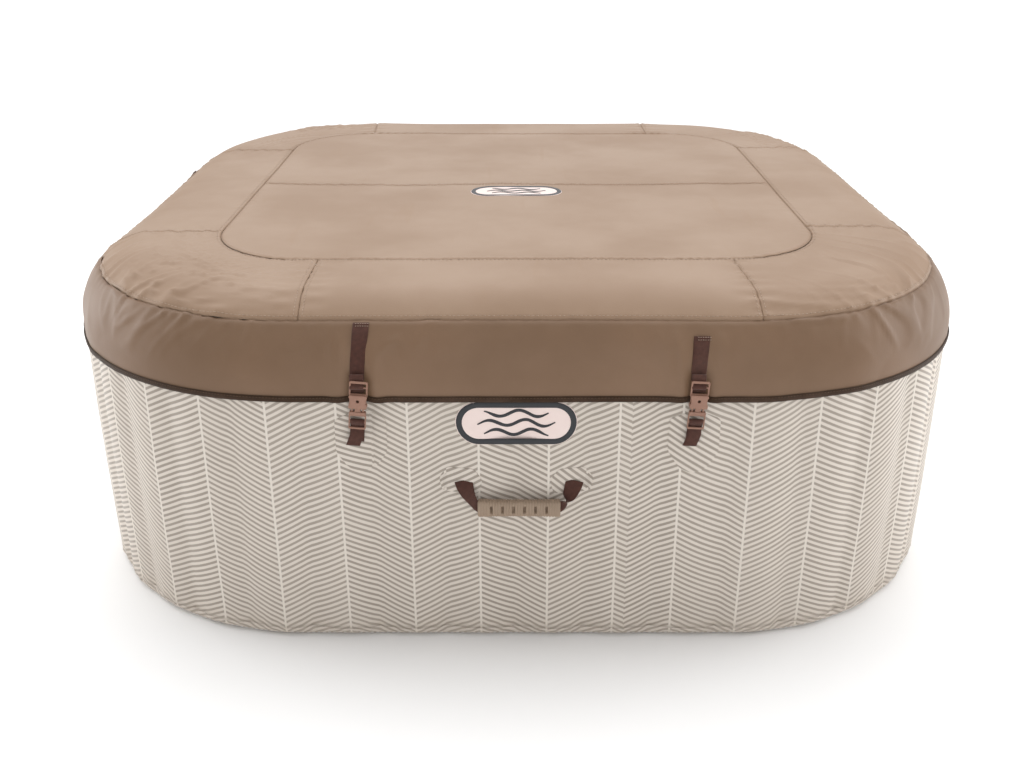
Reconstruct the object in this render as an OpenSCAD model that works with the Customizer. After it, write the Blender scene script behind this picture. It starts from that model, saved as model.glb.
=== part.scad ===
// Inflatable hot tub with a buckled vinyl cover: a rounded-square air ring round a water basin.
// The front faces -Y, Z is up, and the origin is on the ground under the middle of the tub.

/* [Tub] */
// Width and depth of the inflated tub
tub_w = 1824; // [1500:4:2200]
// Height of the tub's rim above the ground
tub_h = 680; // [560:1:820]
// Outer corner radius of the tub
corner_r = 500; // [410:1:600]
// Thickness of the inflated wall
ring_w = 247; // [200:1:300]
// Radius of the rounded outer shoulder
shoulder_r = 144; // [115:1:175]
// Radius of the rounded bottom edge
base_r = 20; // [12:1:26]
// Thickness of the laminate sheet
sheet_t = 2.5; // [1.5:0.1:3]
// Spacing of the tension webs inside the wall
beam_pitch = 137; // [110:1:170]
// Thickness of a tension web
beam_t = 1.5; // [0.8:0.1:2]
// Width of the bubble channel at the foot of the basin wall
channel_w = 30; // [24:1:40]
// Height of the bubble channel
channel_h = 25; // [18:1:32]
// Spacing of the bubble holes
bubble_pitch = 60; // [48:1:75]
// Diameter of a bubble hole
bubble_d = 3; // [2:0.1:4]

/* [Cover] */
// Clearance between the tub and its cover
cover_gap = 3; // [2:0.1:4]
// Thickness of the cover's vinyl
cover_t = 2.5; // [1.5:0.1:3]
// Height of the hem below the rim
hem_drop = 168; // [150:1:200]
// Angle up the shoulder where the skirt is sewn to the top ring
skirt_seam_a = 49; // [40:1:58]
// How far the middle panel's seam lies inside the basin wall
panel_inset = 41; // [30:1:60]
// Height of the hem binding
hem_h = 10; // [8:0.5:14]
// Depth of the air cushion's pocket under the cover
pocket_h = 111; // [90:1:133]
// Clearance between the pocket and the basin wall
pocket_gap = 11; // [9:0.5:14]
// Length of the zip on the front of the pocket
zip_l = 780; // [500:1:820]

/* [Straps and buckles] */
// Distance of the left strap of each side from the middle
strap_left = 281; // [230:1:340]
// Distance of the right strap of each side from the middle
strap_right = 322; // [260:1:380]
// Width of the webbing
web_w = 25; // [20:0.5:26]
// Thickness of the webbing
web_t = 1.5; // [1:0.1:1.8]
// Height of the buckle's middle below the rim
buckle_drop = 173; // [169:1:190]
// Width of a buckle
buckle_w = 33; // [31:0.5:38]
// Length of the webbing tail below the buckle's middle
tail_l = 77; // [60:1:92]

/* [Handles] */
// Length of a handle's grip
grip_l = 152; // [125:1:180]
// Height of a handle's grip
grip_h = 33; // [30:0.5:40]
// Thickness of a handle's grip
grip_t = 22; // [18:0.5:26]
// Height of the handle slits above the ground
slit_z = 350; // [290:1:380]
// How far a grip hangs below its slits
grip_drop = 50; // [45:1:60]

/* [Fittings] */
// Outer radius of a water port's spigot
port_r = 25; // [21:0.5:28]
// Bore radius of a water port
port_bore_r = 19; // [16:0.5:20]
// Height of the water ports
port_z = 290; // [240:1:330]
// Outer radius of the air port and the drain
small_port_r = 16; // [14:0.5:19]
// Bore radius of the air port and the drain
small_bore_r = 12; // [10:0.5:13]
// Height of the air port
air_port_z = 400; // [340:1:420]
// Height of the drain
drain_z = 60; // [56:1:72]
// Height of the inflation valve
valve_z = 300; // [240:1:360]
// Width of the badges
badge_w = 219; // [180:1:260]
// Height of the front badge
badge_h = 84; // [60:1:90]

/* [Hidden] */
$fn = 64;

// The four sides, counted anticlockwise from above
FRONT = 0;
RIGHT = 1;
BACK = 2;
LEFT = 3;

// Colours
cream = "#d6cfc8";
pale = "#e4e0da";
tan = "#b49b88";
dark_tan = "#8f7361";
plum = "#4e322d";
rose = "#a58778";
brown = "#4b3220";
white = "#e8e6e2";
grey = "#9aa0a3";

// Section of the wall: x is measured outward from the corner arcs' centre line
tub_half = tub_w / 2;
flat = tub_half - corner_r;
inner_x = corner_r - ring_w;
inner_shoulder_r = ring_w - shoulder_r;
shoulder_x = corner_r - shoulder_r;
shoulder_z = tub_h - shoulder_r;
inner_shoulder_z = tub_h - inner_shoulder_r;
web_clear = 0.5;
bore_clear = 0.3;
through = 1;

// Cover
cover_r = shoulder_r + cover_gap;
cover_z = tub_h + cover_gap;
hem_z = tub_h - hem_drop;
panel_x = inner_x - panel_inset;
pocket_x = inner_x - pocket_gap;
pocket_z = cover_z - pocket_h;
cushion_gap = 2;
cushion_x = pocket_x - cover_t - cushion_gap;
cushion_edge = 25;
cover_badge_d = 95;
cover_badge_y = -75;
badge_t = 0.8;

// Air cushion valve
valve_tube_r = 16;
valve_flange_r = 24;
valve_flange_t = 4;
valve_tube_h = 18;
valve_bore_r = 11;
valve_end_t = 3;
cushion_valve_y = -(flat + panel_x / 2);
plug_stem_r = 10.6;
plug_stem_h = 14;
plug_head_r = 18;
plug_head_t = 3.7;
plug_clear = 0.3;

// Zip on the front of the pocket
zip_z = pocket_z + 60;
zip_tape_h = 24;
zip_tape_t = 1.2;
zip_coil_h = 4;
zip_coil_t = 1.4;
slider_l = 14;
slider_h = 10;
slider_t = 2.6;
slider_clear = 0.3;
puller_l = 24;
puller_w = 8;
puller_t = 1.5;

// Buckles: z is measured from the buckle's middle, y from the tub's wall and outward is -y
buckle_z = tub_h - buckle_drop;
buckle_back = -9.5;
buckle_t = 12;
frame_back = -12;
frame_t = 7;
window_w = web_w + 2;
socket_low = -2;
socket_h = 30;
socket_ladder_h = 17;
cavity_w = buckle_w - 8;
cavity_t = 6.4;
cavity_end = 24;
throat_h = 10;
window_h = 15;
side_window_t = 5;
eye_r = 2.5;
plug_low = -44;
plug_frame_h = 30;
plug_shoulder_t = 9;
crossbar_z = -31;
crossbar_h = 4;
bar_low = 4;
bar_high = 4;
arm_t = 4.4;
arm_w = 3.2;
arm_root = 6.3;
arm_outer = cavity_w / 2 - 1.3;
arm_tip = 22;
arm_barb = 8.6;
barb_outer = buckle_w / 2 - 1.5;
arm_pivot_z = -8;
root_clear = 0.6;
guide_w = 3;
guide_tip = 8;
mid_y = buckle_back - buckle_t / 2;

// Handles and patches
patch_t = 1.2;
patch_w = 64;
patch_h = 48;
patch_r = 8;
strap_patch_r = 38;
grip_out = 20;
grip_corner = 8;
groove_pitch = 11;
groove_w = 3;
groove_d = 1.2;
hinge_out = 4;
slit_in = 9;
slit_w = 35;

// Fittings
flange_t = 4;
flange_w = 15;
small_flange_w = 8;
nut_t = 10;
nut_w = 11;
cap_gap = 2;
cap_clear = 0.4;
cap_t = 4;
// The capped spigots stand out just as far as the grips do
spigot_l = grip_out + grip_t / 2 - cap_clear - cap_t;
cap_rib = 2.4;
cap_ribs = 10;
strainer_h = 12;
strainer_t = 2;
strainer_hole_r = 4;
duct_w = 60;
duct_t = 15;
valve_x = 2 * beam_pitch;
drain_x = 2 * beam_pitch;
lid_r = 27;
lid_t = 4;
valve_r = 26;
valve_seat_r = 20;
valve_depth = 30;
valve_rim_r = 34;
valve_rim_t = 3;
hinge_drop = 37;
hinge_up = 5.5;
knuckle_r = 2.6;
lug_x = 7;
lug_w = 3;
pin_r = 1.4;

// A square with round corners, centred on the origin
module rounded_square(half, r) {
  square([2 * half, 2 * (half - r)], center = true);
  square([2 * (half - r), 2 * half], center = true);
  for (sx = [-1, 1], sy = [-1, 1]) {
    translate([sx * (half - r), sy * (half - r)]) circle(r);
  }
}

// A rectangle with round corners, centred on the origin
module rounded_rect(w, h, r) {
  square([w, h - 2 * r], center = true);
  square([w - 2 * r, h], center = true);
  for (sx = [-1, 1], sy = [-1, 1]) {
    translate([sx * (w / 2 - r), sy * (h / 2 - r)]) circle(r);
  }
}

// The part of a ring between two angles that are at most 90 degrees apart
module arc_band(r_in, r_out, a0, a1) {
  reach = 1.5 * r_out;
  mid = (a0 + a1) / 2;
  intersection() {
    difference() {
      circle(r_out);
      circle(r_in);
    }
    polygon([
      [0, 0],
      [reach * cos(a0), reach * sin(a0)],
      [reach * cos(mid), reach * sin(mid)],
      [reach * cos(a1), reach * sin(a1)]
    ]);
  }
}

// Sweeps a section along the four straight sides
module along_sides() {
  for (k = [0:3]) {
    rotate(90 * k) translate([flat, flat, 0]) rotate([90, 0, 0]) linear_extrude(2 * flat) children();
  }
}

// Sweeps a section round the four corners
module round_corners() {
  for (k = [0:3]) {
    rotate(90 * k) translate([flat, flat, 0]) rotate_extrude(angle = 90) children();
  }
}

// Sweeps a section all the way round
module around() {
  along_sides() children();
  round_corners() children();
}

// The frame of one side: x runs along the wall, y = 0 is the tub's outer face and outward is -y
module on_side(k) {
  rotate(90 * k) translate([0, -tub_half, 0]) children();
}

// Turns something that stands along z so that it points outward from a side, at a place on it
module outward(x, z) {
  translate([x, 0, z]) rotate([90, 0, 0]) children();
}

// Places something at both straps of every side
module at_straps() {
  for (k = [0:3], x = [-strap_left, strap_right]) {
    on_side(k) translate([x, 0, buckle_z]) children();
  }
}

// The point on a line's left-hand edge at its bend i, half a thickness t away
function edge_point(points, i, t) =
  let (
    last = len(points) - 1,
    before = i == 0 ? points[1] - points[0] : points[i] - points[i - 1],
    after = i == last ? before : points[i + 1] - points[i],
    left_a = atan2(before[1], before[0]) + 90,
    left_b = atan2(after[1], after[0]) + 90,
    turn = (cos(left_a) * cos(left_b) + sin(left_a) * sin(left_b) + 1) / 2,
    mid = [cos(left_a) + cos(left_b), sin(left_a) + sin(left_b)] / 2
  )
  points[i] + mid / turn * t / 2;

// Webbing that follows points (y, z), as wide as w along x, with mitred bends
module ribbon(points, w) {
  last = len(points) - 1;
  left = [for (i = [0:last]) edge_point(points, i, web_t)];
  right = [for (i = [last:-1:0]) edge_point(points, i, -web_t)];
  rotate([90, 0, 90]) translate([0, 0, -w / 2]) linear_extrude(w) polygon(concat(left, right));
}

// ---- Tub ----

module tub_floor() {
  color(pale) linear_extrude(sheet_t) rounded_square(tub_half - base_r, corner_r - base_r);
}

// The welded band that rounds the bottom edge
module base_band() {
  color(pale) around() translate([corner_r - base_r, base_r]) {
    arc_band(base_r - sheet_t, base_r, -90, 0);
  }
}

// Holes in the wall for the fittings
module wall_bores() {
  on_side(BACK) {
    for (x = [-beam_pitch, beam_pitch]) outward(x, port_z) wall_bore(port_r);
    outward(0, air_port_z) wall_bore(small_port_r);
    outward(drain_x, drain_z) wall_bore(small_port_r);
  }
}

module wall_bore(r) {
  translate([0, 0, -ring_w - through]) cylinder(r = r + bore_clear, h = ring_w + 2 * through);
}

module outer_wall() {
  color(cream) difference() {
    around() translate([corner_r - sheet_t, base_r]) square([sheet_t, shoulder_z - base_r]);
    wall_bores();
    on_side(LEFT) outward(valve_x, valve_z) {
      translate([0, 0, -sheet_t - through]) {
        cylinder(r = valve_r + bore_clear, h = sheet_t + 2 * through);
      }
    }
  }
}

module rim_top() {
  color(cream) around() {
    translate([shoulder_x, shoulder_z]) arc_band(shoulder_r - sheet_t, shoulder_r, 0, 90);
    translate([shoulder_x, inner_shoulder_z]) {
      arc_band(inner_shoulder_r - sheet_t, inner_shoulder_r, 90, 180);
    }
  }
}

module inner_wall() {
  color(pale) difference() {
    around() translate([inner_x, sheet_t]) square([sheet_t, inner_shoulder_z - sheet_t]);
    wall_bores();
  }
}

// Tension webs that tie the two walls together inside the air ring
module wall_webs() {
  web_x = inner_x + sheet_t + web_clear;
  web_l = ring_w - 2 * (sheet_t + web_clear);
  web_z = base_r + sheet_t;
  web_h = shoulder_z - web_z;
  color(white) {
    for (k = [0:3], side = [-1, 1], s = [beam_pitch / 2:beam_pitch:flat]) {
      rotate(90 * k) translate([flat + web_x, side * s - beam_t / 2, web_z]) {
        cube([web_l, beam_t, web_h]);
      }
    }
    for (k = [0:3], a = [15:15:75]) {
      rotate(90 * k) translate([flat, flat, 0]) rotate(a) translate([web_x, -beam_t / 2, web_z]) {
        cube([web_l, beam_t, web_h]);
      }
    }
  }
}

// The perforated channel at the foot of the basin wall that lets the bubbles out
module bubble_channel() {
  slot_w = duct_w - 2 * sheet_t;
  color(white) difference() {
    around() translate([inner_x - channel_w, sheet_t]) difference() {
      square([channel_w, channel_h]);
      translate([sheet_t, sheet_t]) {
        square([channel_w - 2 * sheet_t, channel_h - 2 * sheet_t]);
      }
    }
    for (k = [0:3], side = [-1, 1], s = [bubble_pitch / 2:bubble_pitch:flat]) {
      on_side(k) translate([side * s, ring_w + channel_w / 2, channel_h]) {
        cylinder(d = bubble_d, h = 2 * sheet_t, center = true, $fn = 24);
      }
    }
    on_side(BACK) translate([-slot_w / 2, ring_w + sheet_t, channel_h - sheet_t]) {
      cube([slot_w, duct_t - 2 * sheet_t, 3 * sheet_t]);
    }
  }
}

// Carries air from the air port down to the bubble channel
module air_duct() {
  duct_z = sheet_t + channel_h;
  duct_h = air_port_z + small_port_r + sheet_t * 2 - duct_z;
  color(white) on_side(BACK) difference() {
    translate([-duct_w / 2, ring_w, duct_z]) cube([duct_w, duct_t, duct_h]);
    translate([-duct_w / 2 + sheet_t, ring_w + sheet_t, duct_z - through]) {
      cube([duct_w - 2 * sheet_t, duct_t - 2 * sheet_t, duct_h - sheet_t + through]);
    }
    outward(0, air_port_z) translate([0, 0, -ring_w - 2 * sheet_t]) {
      cylinder(r = small_bore_r, h = 3 * sheet_t);
    }
  }
}

// Patches welded on the wall round the handle slits and the tub's strap ends
module wall_patches() {
  color(pale) {
    for (k = [FRONT, RIGHT, LEFT], x = [-1, 1]) on_side(k) outward(x * slit_mid(), slit_z) {
      linear_extrude(patch_t) rounded_rect(patch_w, patch_h, patch_r);
    }
    for (k = [0:3], x = [-strap_left, strap_right]) {
      on_side(k) outward(x, buckle_z - strap_patch_r - 24) {
        cylinder(r = strap_patch_r, h = patch_t, $fn = 6);
      }
    }
  }
}

function slit_mid() = grip_l / 2 + slit_in + slit_w / 2;

module tub_badge() {
  color(rose) on_side(FRONT) outward(0, hem_z - badge_h / 2 - 2) {
    linear_extrude(badge_t) rounded_rect(badge_w, badge_h, badge_h / 2 - 1);
  }
}

// ---- Fittings on the tub ----

// A tube through the inflated wall, with a flange in the basin when flange is more than 0
module through_fitting(r, bore, flange) {
  back = flange > 0 ? flange_t : 0;
  difference() {
    union() {
      translate([0, 0, -ring_w]) cylinder(r = r, h = ring_w + spigot_l);
      if (flange > 0) translate([0, 0, -ring_w - flange_t]) cylinder(r = r + flange, h = flange_t);
    }
    translate([0, 0, -ring_w - back - through]) {
      cylinder(r = bore, h = ring_w + back + spigot_l + 2 * through);
    }
  }
}

module water_ports() {
  color(white) on_side(BACK) for (x = [-beam_pitch, beam_pitch]) {
    outward(x, port_z) through_fitting(port_r, port_bore_r, flange_w);
  }
}

module air_port() {
  color(white) on_side(BACK) outward(0, air_port_z) through_fitting(small_port_r, small_bore_r, 0);
}

module drain_fitting() {
  color(white) on_side(BACK) outward(drain_x, drain_z) {
    through_fitting(small_port_r, small_bore_r, small_flange_w);
  }
}

module nut(r) {
  difference() {
    cylinder(r = r + nut_w, h = nut_t, $fn = 8);
    translate([0, 0, -through]) cylinder(r = r + bore_clear, h = nut_t + 2 * through);
  }
}

// Ring nuts that clamp each fitting to the outside of the wall
module port_nuts() {
  color(grey) on_side(BACK) {
    for (x = [-beam_pitch, beam_pitch]) outward(x, port_z) nut(port_r);
    outward(0, air_port_z) nut(small_port_r);
    outward(drain_x, drain_z) nut(small_port_r);
  }
}

// Cup-shaped grids that keep leaves and fingers out of the water ports
module strainer_grids() {
  cup_r = port_r + flange_w - 2;
  color(white) on_side(BACK) for (x = [-beam_pitch, beam_pitch]) {
    outward(x, port_z) translate([0, 0, -ring_w - flange_t - strainer_h]) difference() {
      cylinder(r = cup_r, h = strainer_h);
      translate([0, 0, strainer_t]) cylinder(r = cup_r - strainer_t, h = strainer_h);
      translate([0, 0, -through]) cylinder(r = strainer_hole_r, h = 2 * strainer_t + through);
      for (ring = [1, 2], i = [0:6 * ring - 1]) {
        rotate(i * 60 / ring) translate([ring * 3 * strainer_hole_r, 0, -through]) {
          cylinder(r = strainer_hole_r, h = 2 * strainer_t + through, $fn = 24);
        }
      }
    }
  }
}

// A push-on cap for a spigot
module spigot_cap(r) {
  low = nut_t + cap_gap;
  cap_h = spigot_l + cap_clear + cap_t - low;
  translate([0, 0, low]) difference() {
    union() {
      cylinder(r = r + cap_clear + cap_t, h = cap_h);
      for (i = [0:cap_ribs - 1]) rotate(i * 360 / cap_ribs) {
        translate([r + cap_t / 2, -cap_rib / 2, 0]) cube([cap_t / 2 + cap_clear + cap_rib, cap_rib, cap_h]);
      }
    }
    translate([0, 0, -through]) cylinder(r = r + cap_clear, h = cap_h - cap_t + through);
  }
}

module water_cap(x) {
  color(grey) on_side(BACK) outward(x, port_z) spigot_cap(port_r);
}

module air_port_cap() {
  color(grey) on_side(BACK) outward(0, air_port_z) spigot_cap(small_port_r);
}

module drain_cap() {
  color(grey) on_side(BACK) outward(drain_x, drain_z) spigot_cap(small_port_r);
}

// Inflation valve: a seat with an air grid at its bottom and two lugs for the lid
module air_valve_body() {
  color(white) on_side(LEFT) outward(valve_x, valve_z) difference() {
    union() {
      cylinder(r = valve_rim_r, h = valve_rim_t);
      translate([0, 0, -valve_depth]) cylinder(r = valve_r, h = valve_depth);
      for (side = [0, 1]) mirror([side, 0, 0]) {
        translate([lug_x, -hinge_drop - 4, 0]) cube([lug_w, 10, hinge_up + 3.5]);
      }
    }
    translate([0, 0, lid_t - valve_depth]) cylinder(r = valve_seat_r, h = valve_depth);
    for (a = [0:90:270]) rotate(a) translate([valve_seat_r / 2, 0, -valve_depth - through]) {
      cylinder(r = 5, h = lid_t + 2 * through);
    }
    translate([0, -hinge_drop, hinge_up]) rotate([0, 90, 0]) {
      cylinder(r = pin_r + 0.1, h = 4 * (lug_x + lug_w), center = true);
    }
  }
}

module air_valve_cap() {
  lid_z = valve_rim_t + bore_clear;
  color(grey) on_side(LEFT) outward(valve_x, valve_z) {
    translate([0, 0, lid_z]) cylinder(r = lid_r, h = lid_t);
    difference() {
      translate([0, 0, -7]) cylinder(r = valve_seat_r - 1.4, h = lid_z + 7.5);
      translate([0, 0, -7 - through]) cylinder(r = valve_seat_r - 4, h = lid_z + 7 + through);
    }
    translate([-lug_x + 0.5, -hinge_drop, hinge_up - 1.2]) {
      cube([2 * lug_x - 1, hinge_drop - lid_r / 2, 1.5]);
    }
    translate([0, -hinge_drop, hinge_up]) rotate([0, 90, 0]) {
      cylinder(r = knuckle_r, h = 2 * lug_x - 1, center = true);
      cylinder(r = pin_r, h = 2 * (lug_x + lug_w) - 0.8, center = true);
    }
  }
}

// ---- Carrying handles ----

// Webbing that comes out of both slits and runs through the grip
module handle_strap(k) {
  end_x = grip_l / 2 + 2;
  color(plum) on_side(k) {
    translate([-end_x, -grip_out - web_t / 2, slit_z - grip_drop - web_w / 2]) {
      cube([2 * end_x, web_t, web_w]);
    }
    for (side = [0, 1]) mirror([side, 0, 0]) hull() {
      translate([end_x - 2, -grip_out - web_t / 2, slit_z - grip_drop - web_w / 2]) {
        cube([2, web_t, web_w]);
      }
      translate([slit_mid() - slit_w / 2, -hinge_out - web_t / 2, slit_z - 1]) {
        cube([slit_w, web_t, 2]);
      }
    }
  }
}

// Moulded grip with shallow grooves and a slot for the webbing
module handle_grip(k) {
  grooves = floor((grip_l / 2 - groove_w) / groove_pitch);
  color(rose) on_side(k) translate([0, -grip_out, slit_z - grip_drop]) rotate([90, 0, 90]) {
    difference() {
      translate([0, 0, -grip_l / 2]) linear_extrude(grip_l) difference() {
        rounded_rect(grip_t, grip_h, grip_corner);
        square([web_t + 0.8, web_w + 1], center = true);
      }
      for (i = [-grooves:grooves]) {
        translate([0, 0, i * groove_pitch - groove_w / 2]) linear_extrude(groove_w) difference() {
          square([grip_t + 2, grip_h + 2], center = true);
          rounded_rect(grip_t - 2 * groove_d, grip_h - 2 * groove_d, grip_corner - groove_d);
        }
      }
    }
  }
}

// ---- Straps and buckles ----

// Tub-side webbing: from its patch up behind the plug, over the crossbar and down as a tail
module tub_straps() {
  back_y = frame_back + 2;
  front_y = frame_back - frame_t - 2;
  over_z = crossbar_z + crossbar_h + 4;
  color(plum) at_straps() {
    ribbon([
      [-patch_t - web_t, -strap_patch_r - 34],
      [-patch_t - web_t, -strap_patch_r - 22],
      [back_y, plug_low + 6],
      [back_y, over_z],
      [front_y, over_z],
      [front_y, -tail_l]
    ], web_w);
  }
}

module buckle_plugs() {
  shoulder_low = plug_low + plug_frame_h;
  shoulder_top = socket_low - 0.3;
  slot_low = arm_pivot_z - root_clear;
  color(rose) at_straps() {
    difference() {
      translate([-buckle_w / 2, frame_back - frame_t, plug_low]) {
        cube([buckle_w, frame_t, plug_frame_h]);
      }
      translate([-window_w / 2, frame_back - frame_t - through, plug_low + bar_low]) {
        cube([window_w, frame_t + 2 * through, crossbar_z - plug_low - bar_low]);
      }
      translate([-window_w / 2, frame_back - frame_t - through, crossbar_z + crossbar_h]) {
        cube([window_w, frame_t + 2 * through, shoulder_low - bar_high - crossbar_z - crossbar_h]);
      }
    }
    difference() {
      translate([-buckle_w / 2, mid_y - plug_shoulder_t / 2, shoulder_low]) {
        cube([buckle_w, plug_shoulder_t, shoulder_top - shoulder_low]);
      }
      for (side = [0, 1]) mirror([side, 0, 0]) {
        translate([arm_outer - arm_w - 2.4, mid_y - arm_t / 2 - 0.3, slot_low]) {
          cube([arm_w + 3, arm_t + 0.6, shoulder_top - slot_low + through]);
        }
      }
    }
    translate([-guide_w / 2, mid_y - guide_w / 2, shoulder_top]) {
      cube([guide_w, guide_w, guide_tip - shoulder_top]);
    }
  }
}

// One springy arm of a plug, with the pad that fills the socket's side window
module buckle_arm(k, x, side) {
  color(rose) on_side(k) translate([x, mid_y, buckle_z]) {
    mirror([side < 0 ? 1 : 0, 0, 0]) translate([0, arm_t / 2, 0]) rotate([90, 0, 0]) {
      linear_extrude(arm_t) polygon([
        [arm_outer - arm_w, arm_pivot_z],
        [arm_outer, arm_pivot_z],
        [arm_outer, arm_barb],
        [barb_outer, arm_barb],
        [barb_outer, arm_barb + 6],
        [arm_outer, arm_tip],
        [arm_outer - arm_w, arm_tip]
      ]);
    }
  }
}

module buckle_sockets() {
  ladder_z = socket_low + socket_h;
  color(rose) at_straps() {
    difference() {
      translate([-buckle_w / 2, buckle_back - buckle_t, socket_low]) {
        cube([buckle_w, buckle_t, socket_h]);
      }
      translate([-cavity_w / 2, mid_y - cavity_t / 2, socket_low - through]) {
        cube([cavity_w, cavity_t, cavity_end - socket_low + through]);
      }
      translate([-buckle_w, mid_y - side_window_t / 2, socket_low + throat_h]) {
        cube([2 * buckle_w, side_window_t, window_h]);
      }
      translate([0, buckle_back - buckle_t / 2, cavity_end / 2]) rotate([90, 0, 0]) {
        cylinder(r = eye_r, h = buckle_t);
      }
    }
    difference() {
      translate([-buckle_w / 2, frame_back - frame_t, ladder_z]) {
        cube([buckle_w, frame_t, socket_ladder_h]);
      }
      translate([-window_w / 2, frame_back - frame_t - through, ladder_z + 3.5]) {
        cube([window_w, frame_t + 2 * through, socket_ladder_h - 7]);
      }
    }
  }
}

// Cover-side webbing: from the skirt's seam down over the skirt and round the socket's top bar
module cover_straps() {
  strap_r = cover_r + cover_t + web_t;
  low_a = 12;
  steps = 6;
  front_y = frame_back - frame_t - 2;
  back_y = frame_back + 2;
  window_z = socket_low + socket_h + 9;
  bar_z = socket_low + socket_h + socket_ladder_h + 4;
  rise = shoulder_z - buckle_z;
  drape = [for (i = [0:steps])
    let (a = skirt_seam_a - i * (skirt_seam_a - low_a) / steps)
    [shoulder_r - strap_r * cos(a), rise + strap_r * sin(a)]];
  loop = [[front_y, bar_z + 4], [front_y, window_z], [back_y, window_z], [back_y, bar_z]];
  color(plum) at_straps() ribbon(concat(drape, loop), web_w);
}

// ---- Cover ----

module panel_half(back) {
  side = back ? 0 : -1;
  span = tub_half;
  intersection() {
    translate([0, 0, cover_z]) linear_extrude(cover_t) rounded_square(flat + panel_x, panel_x);
    translate([-span, side * span, cover_z - through]) cube([2 * span, span, cover_t + 2 * through]);
  }
}

module cover_front_panel() {
  color(tan) panel_half(false);
}

module cover_back_panel() {
  color(tan) panel_half(true);
}

// Section of the cover's top ring, from the middle panel to the skirt's seam
module ring_section() {
  translate([shoulder_x, shoulder_z]) arc_band(cover_r, cover_r + cover_t, skirt_seam_a, 90);
  translate([panel_x, cover_z]) square([shoulder_x - panel_x, cover_t]);
}

module cover_side_ring() {
  color(tan) along_sides() ring_section();
}

module cover_corner_ring() {
  color(tan) round_corners() ring_section();
}

module cover_skirt() {
  color(dark_tan) around() {
    translate([shoulder_x, shoulder_z]) arc_band(cover_r, cover_r + cover_t, 0, skirt_seam_a);
    translate([shoulder_x + cover_r, hem_z]) square([cover_t, shoulder_z - hem_z]);
  }
}

module hem_binding() {
  color(brown) around() translate([shoulder_x + cover_r + cover_t, hem_z]) square([cover_t, hem_h]);
}

// The sleeve under the cover that holds the air cushion over the water
module cover_pocket() {
  color(pale) difference() {
    union() {
      around() translate([pocket_x - cover_t, pocket_z]) square([cover_t, pocket_h]);
      translate([0, 0, pocket_z]) linear_extrude(cover_t) {
        rounded_square(flat + pocket_x - cover_t / 2, pocket_x - cover_t / 2);
      }
    }
    translate([0, cushion_valve_y, pocket_z - through]) {
      cylinder(r = valve_tube_r + bore_clear, h = cover_t + 2 * through);
    }
  }
}

module cushion_body(inset) {
  low = pocket_z + cover_t + cushion_gap + inset;
  high = cover_z - cushion_gap - inset;
  edge_x = cushion_x - inset;
  around() polygon([
    [0, low],
    [edge_x - cushion_edge, low],
    [edge_x, low + cushion_edge],
    [edge_x, high - cushion_edge],
    [edge_x - cushion_edge, high],
    [0, high]
  ]);
  translate([-flat, -flat, low]) cube([2 * flat, 2 * flat, high - low]);
}

// The inflated bladder, hollow, with a hole for its valve
module air_cushion() {
  color(white) difference() {
    cushion_body(0);
    cushion_body(cover_t);
    translate([0, cushion_valve_y, pocket_z]) {
      cylinder(r = valve_tube_r + bore_clear, h = cover_t * 3 + cushion_gap);
    }
  }
}

// Valve of the air cushion, open to the underside of the cover
module cushion_valve() {
  low = pocket_z - valve_flange_t;
  color(white) translate([0, cushion_valve_y, low]) difference() {
    union() {
      cylinder(r = valve_flange_r, h = valve_flange_t);
      cylinder(r = valve_tube_r, h = valve_flange_t + valve_tube_h);
    }
    translate([0, 0, -through]) {
      cylinder(r = valve_bore_r, h = valve_flange_t + valve_tube_h - valve_end_t + through);
    }
  }
}

module cushion_plug() {
  low = pocket_z - valve_flange_t - plug_clear - plug_head_t;
  color(grey) translate([0, cushion_valve_y, low]) {
    cylinder(r = plug_head_r, h = plug_head_t);
    cylinder(r = plug_stem_r, h = plug_head_t + plug_stem_h);
  }
}

module pocket_zip() {
  face = corner_r - pocket_x;
  color(brown) on_side(FRONT) {
    translate([-zip_l / 2, face - zip_tape_t, zip_z - zip_tape_h / 2]) {
      cube([zip_l, zip_tape_t, zip_tape_h]);
    }
    translate([-zip_l / 2, face - zip_tape_t - zip_coil_t, zip_z - zip_coil_h / 2]) {
      cube([zip_l, zip_coil_t, zip_coil_h]);
    }
  }
}

module zip_slider() {
  face = corner_r - pocket_x - zip_tape_t - zip_coil_t - slider_clear;
  color(grey) on_side(FRONT) translate([-zip_l / 2 + slider_l, face, zip_z]) {
    translate([-slider_l / 2, -slider_t, -slider_h / 2]) cube([slider_l, slider_t, slider_h]);
    translate([-puller_w / 2, -slider_t - puller_t, slider_h / 2 - puller_l]) {
      cube([puller_w, puller_t, puller_l]);
    }
  }
}

module cover_badge() {
  color(rose) translate([0, cover_badge_y, cover_z + cover_t]) linear_extrude(badge_t) {
    rounded_rect(badge_w, cover_badge_d, cover_badge_d / 2 - 1);
  }
}

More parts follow.
